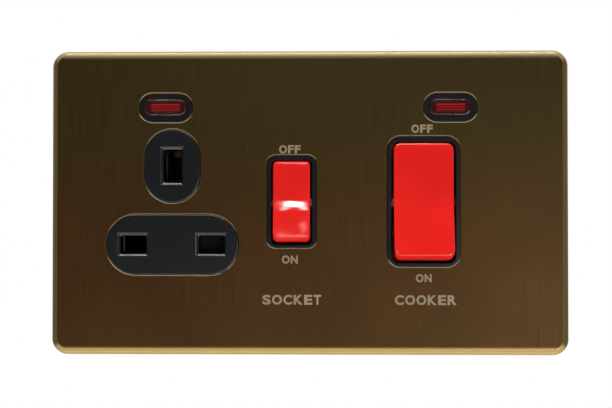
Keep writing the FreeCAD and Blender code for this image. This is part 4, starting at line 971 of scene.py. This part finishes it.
@dataclass
class FrontPlate:
    """The clip-on bronze plate and the words printed on it."""

    rounding: Rounding = Rounding(0.25, 1)
    ink_mm: float = 0.02
    letter_gap: float = 0.13
    words: tuple[Word, ...] = (
        Word("word_socket_off", "OFF", -5.4, 15.0, 6.0, 2.33),
        Word("word_socket_on", "ON", -5.4, -16.05, 4.45, 2.3),
        Word("word_socket", "SOCKET", -4.85, -27.35, 16.5, 2.78),
        Word("word_cooker_off", "OFF", 31.8, 20.75, 6.0, 2.33),
        Word("word_cooker_on", "ON", 32.2, -21.25, 4.4, 2.3),
        Word("word_cooker", "COOKER", 32.75, -27.4, 17.3, 2.78),
    )

    def build(self) -> None:
        """Make the plate and its words."""
        plate = merged_copy("front_plate", "front_plate_shell")
        ease(plate, self.rounding)
        dress(plate, Body.UNIT, Slot.BRONZE, BRONZE, "front_plate")
        for word in self.words:
            dress(self.print_word(word), Body.UNIT, Slot.MOULDING, PRINT)

    def print_word(self, word: Word) -> Piece:
        """Make one word as a thin layer of ink on the plate's face.

        Args:
            word: The word and its place.

        Returns:
            The word's mesh.
        """
        front_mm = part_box("front_plate")[0].y / MM
        shares = [LETTER_ROOM[sign] for sign in word.text]
        unit = word.width_mm / (sum(shares) - self.letter_gap)
        room = [share * unit for share in shares]
        start = word.x_mm - sum(room) / 2
        letters = []
        for index, sign in enumerate(word.text):
            width = room[index] - self.letter_gap * unit
            letter = upright_letter(sign, (width, word.height_mm, self.ink_mm))
            middle = start + sum(room[:index]) + room[index] / 2
            letters.append(shift(letter, (middle, front_mm, word.z_mm)))
        letters[0].name = word.piece
        return joined(*letters)


@dataclass
class Mouldings:
    """The black frame with its bezels, and the socket's face."""

    bezel_rounding: Rounding = Rounding(0.14, 3)
    face_rounding: Rounding = Rounding(0.3, 3)
    mouth_round_mm: float = 0.36
    mouth_turn_deg: Pair = (40.0, 50.0)
    mouth_reach: Pair = (0.8, 1.2)
    rockers: tuple[str, ...] = ("socket_rocker", "cooker_rocker")

    def build(self) -> None:
        """Make the frame and the socket face."""
        moulding = merged_copy("front_moulding", "front_moulding_frame")
        with editing(moulding):
            choose(moulding, Pick.EDGE, self.in_mouth_corner)
            round_chosen(self.mouth_round_mm, 3)
        ease(moulding, self.bezel_rounding)
        dress(moulding, Body.UNIT, Slot.MOULDING, BLACK_SATIN, "front_moulding")
        face = merged_copy("socket_face", "socket_face_inserts")
        ease(face, self.face_rounding)
        dress(face, Body.UNIT, Slot.MOULDING, BLACK_MATT, "socket_face")

    def in_mouth_corner(self, edge: bmesh.types.BMEdge) -> bool:
        """Whether an edge runs front to back at a cut corner of a rocker's mouth."""
        first, second = (vertex.co for vertex in edge.verts)
        along = second - first
        if abs(along.y) < 0.5 * along.length or len(edge.link_faces) != 2:
            return False
        turn = math.degrees(edge.calc_face_angle(0.0))
        middle = (first + second) / 2
        for rocker in self.rockers:
            low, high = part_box(rocker)
            near_x = low.x < middle.x < high.x
            near_z = self.mouth_reach[0] < abs(middle.z) / high.z < self.mouth_reach[1]
            if near_x and near_z and self.mouth_turn_deg[0] < turn < self.mouth_turn_deg[1]:
                return True
        return False


@dataclass
class RockerSwitch:
    """One rocker switch: its cap, modelled about the pivot, and what moves under it."""

    cap: str
    body: Body
    joint: str
    width_mm: float
    end_radius_mm: float
    corner_mm: float
    axle_reach_mm: float
    tube_offsets_mm: tuple[float, ...]
    plungers: tuple[str, ...]
    springs: tuple[str, ...]
    contacts: tuple[tuple[str, Body], ...]
    tilt_deg: float = 7.0
    valley_mm: float = 4.9
    blend_mm: float = 26.0
    skirt_mm: float = 2.0
    wall_mm: float = 1.5
    roof_mm: float = 2.2
    edge_mm: float = 0.5
    valley_steps: int = 12
    corner_steps: int = 8
    edge_steps: int = 5
    end_sides: int = 160
    end_facing: float = 0.75
    bezel_depth_mm: float = 4.3
    axle_radius_mm: float = 1.5
    axle_ease_mm: float = 0.2
    tube_mm: float = 5.2
    tube_end_mm: float = 4.0
    tube_floor_mm: float = 0.5
    bore_mm: float = 3.4
    bore_depth_mm: float = 3.3
    coil_radius_mm: float = 1.4
    coil_wire_mm: float = 0.4
    coil_length_mm: float = 4.9
    coil_turns: int = 6
    coil_steps: int = 20
    wire_sides: int = 10
    plunger_rounding: Rounding = Rounding(0.25)
    contact_rounding: Rounding = Rounding(0.2)

    def build(self) -> None:
        """Make the cap, plungers, springs and moving contacts."""
        dress(self.build_cap(), self.body, Slot.ROCKER, RED_GLOSS, self.cap)
        for node in self.plungers:
            piece = merged_copy(node, f"{node}_pin")
            ease(piece, self.plunger_rounding)
            dress(piece, self.body, Slot.PLUNGER, NYLON_NATURAL, node)
        for node, offset in zip(self.springs, self.tube_offsets_mm):
            dress(self.build_coil(node, offset), self.body, Slot.STEEL, STEEL_ZINC, node)
        for node, body in self.contacts:
            piece = merged_copy(node, f"{node}_bar")
            ease(piece, self.contact_rounding)
            dress(piece, body, Slot.BRASS, BRASS_BRIGHT, node)

    def pivot_mm(self) -> Triple:
        """Place of the rocker's joint."""
        found = next(joint for joint in frame["joints"] if joint["name"] == self.joint)
        return tuple(value / MM for value in found["pos_m"])

    def build_cap(self) -> Piece:
        """Shape the cap at its middle position, then tilt it to OFF at its pivot.

        Returns:
            The cap.
        """
        cap = self.half_block()
        mirror = cap.modifiers.new("other half", "MIRROR")
        mirror.use_axis = (False, False, True)
        mirror.merge_threshold = WELD
        apply_modifiers(cap)
        with editing(cap):
            bpy.ops.mesh.select_all(action="SELECT")
            bpy.ops.mesh.normals_make_consistent(inside=False)
            bpy.ops.mesh.dissolve_limited(angle_limit=math.radians(0.2))
            choose(cap, Pick.EDGE, self.in_valley)
            round_chosen(self.blend_mm * math.tan(math.radians(self.tilt_deg)), self.valley_steps)
            choose(cap, Pick.EDGE, self.at_corner)
            round_chosen(self.corner_mm, self.corner_steps)
            choose(cap, Pick.EDGE, self.round_front)
            round_chosen(self.edge_mm, self.edge_steps)
            choose(cap, Pick.FACE, lambda face: face.normal.y > FACING)
            bpy.ops.mesh.inset(thickness=self.wall_mm * MM)
            push_chosen((0.0, -(self.skirt_mm + self.valley_mm - self.roof_mm) * MM, 0.0))
        smooth(cap)
        extras = [self.build_tube(offset) for offset in self.tube_offsets_mm]
        extras += [self.build_axle(side) for side in (-1, 1)]
        joined(cap, *extras)
        return shift(cap, self.pivot_mm(), -self.tilt_deg)

    def half_block(self) -> Piece:
        """Cut the upper half of the cap from a cylinder about the pivot.

        Returns:
            The half, open where it meets the other.
        """
        tilt = math.radians(self.tilt_deg)
        # The ends run straight behind the bezel's front, where they are longest.
        reach = math.sqrt(self.end_radius_mm ** 2 - self.bezel_depth_mm ** 2)
        block = new_cylinder(
            f"{self.cap}_cap", self.end_radius_mm, self.width_mm, Along.X, self.end_sides
        )
        with editing(block):
            cut_away((0.0, 0.0, 0.0), (0.0, 0.0, -1.0))
            cut_away((0.0, -self.valley_mm * MM, 0.0), (0.0, -math.cos(tilt), -math.sin(tilt)))
            cut_away((0.0, self.skirt_mm * MM, 0.0), (0.0, 1.0, 0.0))
            cut_away((0.0, 0.0, reach * MM), (0.0, 0.0, 1.0))
            choose(block, Pick.FACE, lambda face: face.normal.z < -FACING)
            bpy.ops.mesh.delete(type="FACE")
        return block

    def in_valley(self, edge: bmesh.types.BMEdge) -> bool:
        """Whether an edge is the line where the two front faces meet."""
        return all(abs(vertex.co.z) < WELD and vertex.co.y < -MM for vertex in edge.verts)

    def at_corner(self, edge: bmesh.types.BMEdge) -> bool:
        """Whether an edge parts a side from an end."""
        if len(edge.link_faces) != 2:
            return False
        sideways = [abs(face.normal.x) > FACING for face in edge.link_faces]
        endways = [abs(face.normal.z) > self.end_facing for face in edge.link_faces]
        return any(sideways) and any(endways)

    def round_front(self, edge: bmesh.types.BMEdge) -> bool:
        """Whether an edge is part of the front face's outline."""
        if len(edge.link_faces) != 2:
            return False
        front = [face.normal.y < -FACING for face in edge.link_faces]
        return front[0] != front[1]

    def build_tube(self, offset_mm: float) -> Piece:
        """Make the square tube under the cap that holds a plunger."""
        start = self.roof_mm - self.valley_mm
        length = self.tube_end_mm - start
        tube = new_block("plunger_tube", (self.tube_mm, length, self.tube_mm))
        with editing(tube):
            choose(tube, Pick.FACE, lambda face: face.normal.y > FACING)
            bpy.ops.mesh.inset(thickness=(self.tube_mm - self.bore_mm) / 2 * MM)
            push_chosen((0.0, -(length - self.tube_floor_mm) * MM, 0.0))
        return shift(tube, (offset_mm, start + length / 2, 0.0))

    def build_axle(self, side: int) -> Piece:
        """Make the short axle at one side of the cap."""
        inner = self.width_mm / 2 - self.wall_mm
        axle = new_cylinder("cap_axle", self.axle_radius_mm, self.axle_reach_mm - inner, Along.X, 32)
        with editing(axle):
            choose(axle, Pick.FACE, lambda face: side * face.normal.x > FACING)
            round_chosen(self.axle_ease_mm, 2)
        smooth(axle)
        return shift(axle, (side * (inner + self.axle_reach_mm) / 2, 0.0, 0.0))

    def build_coil(self, node: str, offset_mm: float) -> Piece:
        """Wind one plunger spring from round wire, in the bore of its tube.

        Args:
            node: CAD node of the spring.
            offset_mm: Its place along the rocker's axle.

        Returns:
            The spring.
        """
        bpy.ops.object.select_all(action="DESELECT")
        place = (self.coil_radius_mm * MM, 0.0, 0.0)
        radius = self.coil_wire_mm / 2 * MM
        bpy.ops.mesh.primitive_circle_add(vertices=self.wire_sides, radius=radius, location=place)
        coil = bpy.context.object
        coil.name = f"{node}_coil"
        settle(coil)
        winding = coil.modifiers.new("winding", "SCREW")
        winding.axis = "Y"
        winding.iterations = self.coil_turns
        winding.screw_offset = (self.coil_length_mm - self.coil_wire_mm) / self.coil_turns * MM
        winding.steps = self.coil_steps
        winding.render_steps = self.coil_steps
        apply_modifiers(coil)
        with editing(coil):
            bpy.ops.mesh.select_all(action="SELECT")
            bpy.ops.mesh.fill_holes(sides=0)
            bpy.ops.mesh.normals_make_consistent(inside=False)
        smooth(coil, 60.0)
        shift(coil, (offset_mm, self.coil_wire_mm / 2 - self.bore_depth_mm, 0.0))
        return shift(coil, self.pivot_mm(), -self.tilt_deg)


@dataclass
class NeonIndicator:
    """One neon indicator: lens with its ribbed window, lamp and resistor."""

    side: str
    rounding: Rounding = Rounding(0.45, 5)
    window_mm: Triple = (8.0, 0.3, 2.1)
    window_depth_mm: float = 0.4
    rib_mm: float = 0.26
    rib_places_mm: tuple[float, ...] = (-0.68, 0.0, 0.68)
    lamp_radius_mm: float = 2.25
    lamp_length_mm: float = 9.0
    lamp_dome_mm: float = 1.7
    lamp_neck_mm: float = 0.8
    electrode_reach_mm: float = 1.5
    lead_radius_mm: float = 0.25
    lead_ease_mm: float = 0.1
    lead_spread_mm: float = 0.9
    lead_sides: int = 16
    resistor_length_mm: float = 5.6
    resistor_ease_mm: float = 0.35
    waist_share: float = 0.3
    waist_width: float = 0.86

    def build(self) -> None:
        """Make the lens, its window, the lamp and the resistor."""
        node = f"{self.side}_neon_lens"
        lens = merged_copy(node, f"{node}_clear")
        ease(lens, self.rounding)
        dress(lens, Body.UNIT, Slot.LENS, RED_CLEAR, node)
        dress(self.build_window(), Body.UNIT, Slot.LENS, RED_RIBBED)
        node = f"{self.side}_neon_lamp"
        dress(self.build_tube(), Body.UNIT, Slot.GLASS, GLASS_CLEAR, node)
        dress(self.build_electrodes(), Body.UNIT, Slot.STEEL, STEEL_ZINC)
        node = f"{self.side}_neon_resistor"
        dress(self.build_resistor(), Body.UNIT, Slot.CERAMIC, CERAMIC, node)

    def middle_mm(self, node: str) -> Vector:
        """Middle of a CAD node's box."""
        low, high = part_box(node)
        return (low + high) / 2 / MM

    def lead_side(self) -> int:
        """Which way along X the lamp's leads come out."""
        lamp = self.middle_mm(f"{self.side}_neon_lamp")
        lens = self.middle_mm(f"{self.side}_neon_lens")
        return 1 if lamp.x > lens.x else -1

    def build_window(self) -> Piece:
        """Make the ribbed window just under the lens's skin.

        Returns:
            The window.
        """
        window = new_block(f"{self.side}_neon_window", self.window_mm)
        for place in self.rib_places_mm:
            with editing(window):
                for edge_place in (place - self.rib_mm, place, place + self.rib_mm):
                    bpy.ops.mesh.select_all(action="SELECT")
                    level = (0.0, 0.0, edge_place * MM)
                    bpy.ops.mesh.bisect(plane_co=level, plane_no=(0.0, 0.0, 1.0))
        with editing(window):
            choose(window, Pick.EDGE, self.on_rib)
            bpy.ops.transform.translate(value=(0.0, -self.rib_mm * MM, 0.0))
        for finish in (RED_RIBBED, RED_CREST):
            window.data.materials.append(finish.material())
        with editing(window):
            choose(window, Pick.FACE, self.on_upper_slope)
            window.active_material_index = 1
            bpy.ops.object.material_slot_assign()
        smooth(window)
        middle = self.middle_mm(f"{self.side}_neon_lens")
        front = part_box(f"{self.side}_neon_lens")[0].y / MM
        return shift(window, (middle.x, front + self.window_depth_mm + self.window_mm[1] / 2, middle.z))

    def on_upper_slope(self, face: bmesh.types.BMFace) -> bool:
        """Whether a face is the upper slope of a rib."""
        return face.normal.y < -0.1 and face.normal.z > 0.1

    def on_rib(self, edge: bmesh.types.BMEdge) -> bool:
        """Whether an edge is the crest of a rib on the window's front."""
        first, second = (vertex.co for vertex in edge.verts)
        crest = any(abs(first.z / MM - place) < 0.01 for place in self.rib_places_mm)
        return crest and abs(first.z - second.z) < WELD and max(first.y, second.y) < 0.0

    def build_tube(self) -> Piece:
        """Make the lamp's glass tube, with a round end and a narrowed end for the leads.

        Returns:
            The tube.
        """
        name = f"{self.side}_neon_lamp_tube"
        tube = new_cylinder(name, self.lamp_radius_mm, self.lamp_length_mm, Along.X)
        side = self.lead_side()
        with editing(tube):
            choose(tube, Pick.FACE, lambda face: side * face.normal.x < -FACING)
            round_chosen(self.lamp_dome_mm, 6)
            choose(tube, Pick.FACE, lambda face: side * face.normal.x > FACING)
            round_chosen(self.lamp_neck_mm, 3)
        smooth(tube)
        return shift(tube, self.lamp_place())

    def lamp_place(self) -> Triple:
        """Middle of the lamp's glass."""
        lamp = self.middle_mm(f"{self.side}_neon_lamp")
        return self.middle_mm(f"{self.side}_neon_lens").x, lamp.y, lamp.z

    def build_electrodes(self) -> Piece:
        """Make the lamp's two electrodes, which go on as its leads.

        Returns:
            Both, as one piece.
        """
        low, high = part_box(f"{self.side}_neon_lamp")
        x, y, z = self.lamp_place()
        side = self.lead_side()
        end = (high.x if side > 0 else low.x) / MM
        start = x - side * self.electrode_reach_mm
        length = abs(end - start)
        name = f"{self.side}_neon_electrodes"
        rods = []
        for spread in (-self.lead_spread_mm, self.lead_spread_mm):
            rod = new_cylinder(name, self.lead_radius_mm, length, Along.X, self.lead_sides)
            with editing(rod):
                choose(rod, Pick.FACE, lambda face: abs(face.normal.x) > FACING)
                round_chosen(self.lead_ease_mm, 2)
            smooth(rod)
            rods.append(shift(rod, ((start + end) / 2, y, z + spread)))
        return joined(*rods)

    def build_resistor(self) -> Piece:
        """Make the resistor: a waisted body with a lead at each end.

        Returns:
            The resistor.
        """
        node = f"{self.side}_neon_resistor"
        low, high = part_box(node)
        middle = self.middle_mm(node)
        radius = min(high.y - low.y, high.z - low.z) / 2 / MM
        body = new_cylinder(f"{node}_body", radius, self.resistor_length_mm, Along.X, 32)
        waist = self.waist_share * self.resistor_length_mm * MM
        with editing(body):
            for place in (-waist, waist):
                bpy.ops.mesh.select_all(action="SELECT")
                bpy.ops.mesh.bisect(plane_co=(place, 0.0, 0.0), plane_no=(1.0, 0.0, 0.0))
            choose(body, Pick.EDGE, lambda edge: self.within(edge, waist + WELD))
            bpy.ops.transform.resize(value=(1.0, self.waist_width, self.waist_width))
            choose(body, Pick.FACE, lambda face: abs(face.normal.x) > FACING)
            round_chosen(self.resistor_ease_mm, 3)
        smooth(body)
        length = (high.x - low.x) / MM
        lead = new_cylinder("resistor_lead", self.lead_radius_mm, length, Along.X, self.lead_sides)
        return shift(joined(body, lead), tuple(middle))

    def within(self, edge: bmesh.types.BMEdge, reach: float) -> bool:
        """Whether an edge lies within a distance of the middle along X."""
        return all(abs(vertex.co.x) < reach for vertex in edge.verts)


@dataclass(frozen=True)
class ScrewKind:
    """Sizes of one kind of slotted screw."""

    node: str
    head_radius_mm: float
    head_height_mm: float
    shank_radius_mm: float
    slot_mm: float
    slot_depth_mm: float
    slot_turned: bool
    thread_mm: float = 0.8
    groove: float = 0.8
    head_ease_mm: float = 0.4
    slot_reach: float = 2.4
    shank_sides: int = 24


@dataclass
class RearHousing:
    """The two rear mouldings, and the metal and the shutter in them."""

    base_rounding: Rounding = Rounding(0.3, 3)
    metal_rounding: Rounding = Rounding(0.12, 2)
    shutter_rounding: Rounding = Rounding(0.2, 2)
    strip_rounding: Rounding = Rounding(0.06, 2)
    contact_nodes: tuple[str, ...] = (
        "socket_neutral_contact", "socket_line_contact", "socket_earth_contact",
    )
    brass_nodes: tuple[str, ...] = (
        "line_busbar", "neutral_link", "line_in_terminal", "neutral_in_terminal", "line_out_terminal",
        "neutral_out_terminal", "earth_terminal",
    )
    screws: tuple[ScrewKind, ...] = (
        ScrewKind("housing_screws", 2.7, 1.6, 1.25, 0.8, 0.8, slot_turned=False),
        ScrewKind("terminal_screws", 2.8, 1.4, 1.6, 1.0, 0.8, slot_turned=True),
    )
    shutter_joint: str = "shutter_slide"
    terminal_signs: str = "ELLNN"
    sign_mm: Triple = (2.3, 3.0, 0.5)
    sign_inward_mm: float = 8.5

    def build(self) -> None:
        """Make the mouldings, the contacts, the screws, the springs and the shutter."""
        for node in ("socket_base", "switch_base"):
            piece = merged_copy(node, f"{node}_moulding")
            ease(piece, self.base_rounding)
            dress(piece, Body.UNIT, Slot.BASE, BASE_BLACK, node)
        for node in self.contact_nodes + self.brass_nodes:
            piece = merged_copy(node, f"{node}_brass")
            ease(piece, self.metal_rounding)
            # The socket contacts, deep in the pin holes, take brass with painted shade.
            finish = BRASS_PAINTED_SHADE if node in self.contact_nodes else BRASS_BRIGHT
            dress(piece, Body.UNIT, Slot.BRASS, finish, node)
        for kind in self.screws:
            dress(self.build_screws(kind), Body.UNIT, Slot.STEEL, STEEL_ZINC, kind.node)
        leaf = merged_copy("plate_earth_spring", "plate_earth_spring_leaf")
        ease(leaf, self.metal_rounding)
        dress(leaf, Body.UNIT, Slot.STEEL, STEEL_ZINC, "plate_earth_spring")
        self.build_shutter()
        dress(self.build_marks(), Body.UNIT, Slot.BASE, BASE_BLACK)

    def build_marks(self) -> Piece:
        """Make the raised letters that are moulded on the back beside the terminals.

        Returns:
            All the letters, as one piece.
        """
        back_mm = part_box("switch_base")[1].y / MM
        letters = []
        for sign, (low, high) in zip(self.terminal_signs, islands("terminal_screws")):
            screw = (low + high) / 2 / MM
            letter = upright_letter(sign, self.sign_mm)
            letter.rotation_euler = (0.0, 0.0, math.pi)
            settle(letter)
            inward = math.copysign(abs(screw.z) - self.sign_inward_mm, screw.z)
            letters.append(shift(letter, (screw.x, back_mm, inward)))
        letters[0].name = "terminal_marks"
        return joined(*letters)

    def build_shutter(self) -> None:
        """Make the shutter, and the folded spring that it squeezes."""
        shutter = merged_copy("shutter", "shutter_slider")
        ease(shutter, self.shutter_rounding)
        dress(shutter, Body.SHUTTER, Slot.SHUTTER, NYLON_DARK, "shutter")
        spring = merged_copy("shutter_spring", "shutter_spring_strip")
        ease(spring, self.strip_rounding)
        dress(spring, Body.UNIT, Slot.STEEL, STEEL_ZINC, "shutter_spring")
        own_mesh(spring)

    def build_screws(self, kind: ScrewKind) -> Piece:
        """Model one screw and copy it to each place that the CAD node has one.

        Args:
            kind: The screw's sizes.

        Returns:
            All the screws of the node, as one piece.
        """
        places = islands(kind.node)
        low, high = places[0]
        length = (high.y - low.y) / MM
        head = new_cylinder(f"{kind.node}_slotted", kind.head_radius_mm, kind.head_height_mm, Along.Y)
        with editing(head):
            choose(head, Pick.FACE, lambda face: face.normal.y > FACING)
            round_chosen(kind.head_ease_mm, 4)
        across, along = kind.slot_mm, kind.slot_reach * kind.head_radius_mm
        if not kind.slot_turned:
            across, along = along, across
        cutter = new_block("slot_cutter", (across, 2 * kind.slot_depth_mm, along))
        carve(head, shift(cutter, (0.0, kind.head_height_mm / 2, 0.0)))
        shift(head, (0.0, -kind.head_height_mm / 2, 0.0))
        smooth(head)
        shank = self.build_shank(kind, length - kind.head_height_mm)
        pattern = joined(head, shift(shank, (0.0, -(length + kind.head_height_mm) / 2, 0.0)))
        copies = [twin(pattern) for _ in places[1:]]
        for screw, (low, high) in zip([pattern] + copies, places):
            middle = (low + high) / 2 / MM
            shift(screw, (middle.x, high.y / MM, middle.z))
        return joined(pattern, *copies)

    def build_shank(self, kind: ScrewKind, length_mm: float) -> Piece:
        """Make a screw's shank with ridges for its thread, a little coarser than a real one.

        Args:
            kind: The screw's sizes.
            length_mm: The shank's length.

        Returns:
            The shank, about the origin.
        """
        shank = new_cylinder("screw_shank", kind.shank_radius_mm, length_mm, Along.Y, kind.shank_sides)
        ridges = int(length_mm / kind.thread_mm)
        with editing(shank):
            for step in range(1, 2 * ridges):
                level = (step / (2 * ridges) - 0.5) * length_mm * MM
                bpy.ops.mesh.select_all(action="SELECT")
                bpy.ops.mesh.bisect(plane_co=(0.0, level, 0.0), plane_no=(0.0, 1.0, 0.0))
            pitch = length_mm / (2 * ridges) * MM
            choose(shank, Pick.EDGE, lambda edge: self.in_groove(edge, pitch, length_mm * MM))
            bpy.ops.transform.resize(value=(kind.groove, 1.0, kind.groove))
        smooth(shank)
        return shank

    def in_groove(self, edge: bmesh.types.BMEdge, pitch: float, length: float) -> bool:
        """Whether an edge runs round a groove between two ridges of a shank."""
        first, second = (vertex.co for vertex in edge.verts)
        step = round((first.y + length / 2) / pitch)
        return abs(first.y - second.y) < 0.1 * pitch and step % 2 == 1


class LampShape(Enum):
    """Outline of a lamp's face."""

    OBLONG = "RECTANGLE"
    OVAL = "ELLIPSE"


@dataclass(frozen=True)
class Lamp:
    """One soft studio lamp: its place, size and power."""

    name: str
    place_m: Triple
    size_m: Pair
    power_w: float
    shape: LampShape = LampShape.OBLONG
    roll_deg: float = 0.0


@dataclass
class Studio:
    """Floor, world, lamps and the camera at the photograph's place."""

    distance_mm: float = 300.0
    frame_width_mm: float = 172.3
    sensor_mm: float = 36.0
    aim_mm: Triple = (-0.85, -5.0, -0.42)
    yaw_deg: float = 1.2
    pitch_deg: float = -0.8
    floor_drop_m: float = 0.25
    floor_size_m: float = 8.0
    floor_white_m: Pair = (0.3, 0.7)
    floor_colour: str = "#e9e9e7"
    floor_roughness: float = 0.9
    ambient: float = 0.34
    front_room: float = 0.12
    room_edge: Pair = (-0.35, 0.1)
    near_clip_m: float = 0.005
    lamps: tuple[Lamp, ...] = (
        Lamp("lamp_above", (0.0, -0.35, 0.75), (0.8, 0.5), 2.9),
        Lamp("lamp_strip", (0.0, -0.03, 0.8), (0.8, 0.12), 6.5),
        Lamp("lamp_below", (0.05, -0.5, -0.21), (0.5, 0.06), 0.55),
        Lamp("lamp_under", (0.0, -0.035, -0.235), (0.5, 0.05), 0.26),
        Lamp("lamp_right", (0.28, -0.6, -0.12), (0.26, 0.2), 1.1),
        Lamp("lamp_small", (-0.0295, -0.76, 0.25), (0.024, 0.07), 0.2, LampShape.OVAL, -3.0),
        Lamp("lamp_small_left", (-0.042, -0.76, 0.315), (0.005, 0.11), 0.045, LampShape.OVAL, 4.5),
        Lamp("lamp_small_right", (-0.0175, -0.76, 0.315), (0.007, 0.085), 0.05, LampShape.OVAL, -5.0),
        Lamp("lamp_spot", (-0.018, -0.717, 0.363), (0.006, 0.0018), 0.0012, LampShape.OVAL, 6.0),
    )

    def build(self) -> None:
        """Make the whole studio."""
        self.build_world()
        self.build_floor()
        for lamp in self.lamps:
            self.build_lamp(lamp)
        self.build_camera()

    def build_world(self) -> None:
        """Make the world.

        The camera sees it white. Reflections see a white wall behind the unit and a dim room in front of
        it, and as light it is softer than it looks.
        """
        world = bpy.data.worlds.new("pale_studio")
        bpy.context.scene.world = world
        world.use_nodes = True
        tree = world.node_tree
        tree.nodes.clear()
        path = add_node(tree, "ShaderNodeLightPath").outputs
        inputs = {0: path["Is Camera Ray"], 1: path["Is Glossy Ray"]}
        seen = add_node(tree, "ShaderNodeMath", inputs, operation="MAXIMUM").outputs[0]
        inputs = {0: seen, 1: path["Is Transmission Ray"]}
        seen = add_node(tree, "ShaderNodeMath", inputs, operation="MAXIMUM").outputs[0]
        heading = add_node(tree, "ShaderNodeTexCoord").outputs["Generated"]
        rearward = add_node(tree, "ShaderNodeSeparateXYZ", {0: heading}).outputs[1]
        inputs = {0: rearward, 1: self.room_edge[0], 2: self.room_edge[1], 3: self.front_room, 4: 1.0}
        mirrored = add_node(tree, "ShaderNodeMapRange", inputs, **SOFT).outputs[0]
        inputs = {0: mirrored, 1: path["Is Camera Ray"]}
        shown = add_node(tree, "ShaderNodeMath", inputs, operation="MAXIMUM").outputs[0]
        light = add_node(tree, "ShaderNodeBackground", {"Color": (1, 1, 1, 1), "Strength": self.ambient})
        white = add_node(tree, "ShaderNodeBackground", {"Color": (1, 1, 1, 1), "Strength": shown})
        mixed = add_node(tree, "ShaderNodeMixShader", {0: seen, 1: light.outputs[0], 2: white.outputs[0]})
        add_node(tree, "ShaderNodeOutputWorld", {"Surface": mixed.outputs[0]})

    def build_floor(self) -> None:
        """Pale floor well below the unit, white to the camera far from it."""
        bpy.ops.object.select_all(action="DESELECT")
        bpy.ops.mesh.primitive_plane_add(size=self.floor_size_m, location=(0.0, 0.0, -self.floor_drop_m))
        floor = bpy.context.object
        floor.name = "floor"
        settle(floor)
        # Matt paint: a soft pale light from below, with no edge to be seen.
        material, tree, shader = new_surface("pale_floor")
        shader.inputs["Base Color"].default_value = linear(self.floor_colour)
        shader.inputs["Roughness"].default_value = self.floor_roughness
        place = add_node(tree, "ShaderNodeTexCoord").outputs["Object"]
        reach = add_node(tree, "ShaderNodeVectorMath", {0: place}, operation="LENGTH").outputs["Value"]
        inputs = {0: reach, 1: self.floor_white_m[0], 2: self.floor_white_m[1]}
        far = add_node(tree, "ShaderNodeMapRange", inputs, **SOFT).outputs[0]
        seen = add_node(tree, "ShaderNodeLightPath").outputs["Is Camera Ray"]
        share = add_node(tree, "ShaderNodeMath", {0: far, 1: seen}, operation="MULTIPLY").outputs[0]
        white = add_node(tree, "ShaderNodeEmission", {"Color": (1, 1, 1, 1), "Strength": 1.0})
        mixed = add_node(tree, "ShaderNodeMixShader", {0: share, 1: shader.outputs[0], 2: white.outputs[0]})
        tree.links.new(mixed.outputs[0], tree.nodes["Material Output"].inputs["Surface"])
        floor.data.materials.append(material)

    def build_lamp(self, lamp: Lamp) -> None:
        """Make one lamp aimed at the unit."""
        bpy.ops.object.light_add(type="AREA", location=lamp.place_m)
        light = bpy.context.object
        light.name = lamp.name
        light.data.shape = lamp.shape.value
        light.data.size, light.data.size_y = lamp.size_m
        light.data.energy = lamp.power_w
        aimed = (-Vector(lamp.place_m)).to_track_quat("-Z", "Y").to_matrix()
        light.rotation_euler = (aimed @ Matrix.Rotation(math.radians(lamp.roll_deg), 3, "Z")).to_euler()

    def build_camera(self) -> None:
        """Make the camera at the photograph's viewing angle."""
        yaw, pitch = math.radians(self.yaw_deg), math.radians(self.pitch_deg)
        away = Vector((math.sin(yaw) * math.cos(pitch), -math.cos(yaw) * math.cos(pitch), math.sin(pitch)))
        aim = Vector(self.aim_mm) * MM
        place = aim + away * self.distance_mm * MM
        bpy.ops.object.camera_add(location=place)
        camera = bpy.context.object
        camera.name = "photo_camera"
        camera.rotation_euler = (-away).to_track_quat("-Z", "Y").to_euler()
        camera.data.sensor_width = self.sensor_mm
        camera.data.lens = self.sensor_mm * self.distance_mm / self.frame_width_mm
        camera.data.clip_start = self.near_clip_m
        bpy.context.scene.camera = camera


def main() -> None:
    """Build every sub-assembly in order, then the studio."""
    logging.basicConfig(level=logging.INFO, format="%(message)s")
    bpy.context.scene.view_settings.view_transform = "Standard"
    FrontPlate().build()
    Mouldings().build()
    RockerSwitch(
        cap="socket_rocker",
        body=Body.SOCKET_ROCKER,
        joint="socket_rocker_tilt",
        width_mm=10.4,
        end_radius_mm=12.3,
        corner_mm=1.2,
        axle_reach_mm=6.9,
        tube_offsets_mm=(0.0,),
        plungers=("socket_plunger",),
        springs=("socket_plunger_spring",),
        contacts=(("socket_moving_contact", Body.SOCKET_CONTACT),),
    ).build()
    RockerSwitch(
        cap="cooker_rocker",
        body=Body.COOKER_ROCKER,
        joint="cooker_rocker_tilt",
        width_mm=16.8,
        end_radius_mm=17.2,
        corner_mm=1.9,
        axle_reach_mm=10.2,
        tube_offsets_mm=(-5.5, 5.5),
        plungers=("cooker_line_plunger", "cooker_neutral_plunger"),
        springs=("cooker_line_spring", "cooker_neutral_spring"),
        contacts=(
            ("cooker_line_moving_contact", Body.COOKER_LINE_CONTACT),
            ("cooker_neutral_moving_contact", Body.COOKER_NEUTRAL_CONTACT),
        ),
    ).build()
    for side in ("socket", "cooker"):
        NeonIndicator(side).build()
    RearHousing().build()
    Studio().build()


if __name__ == "__main__":
    main()
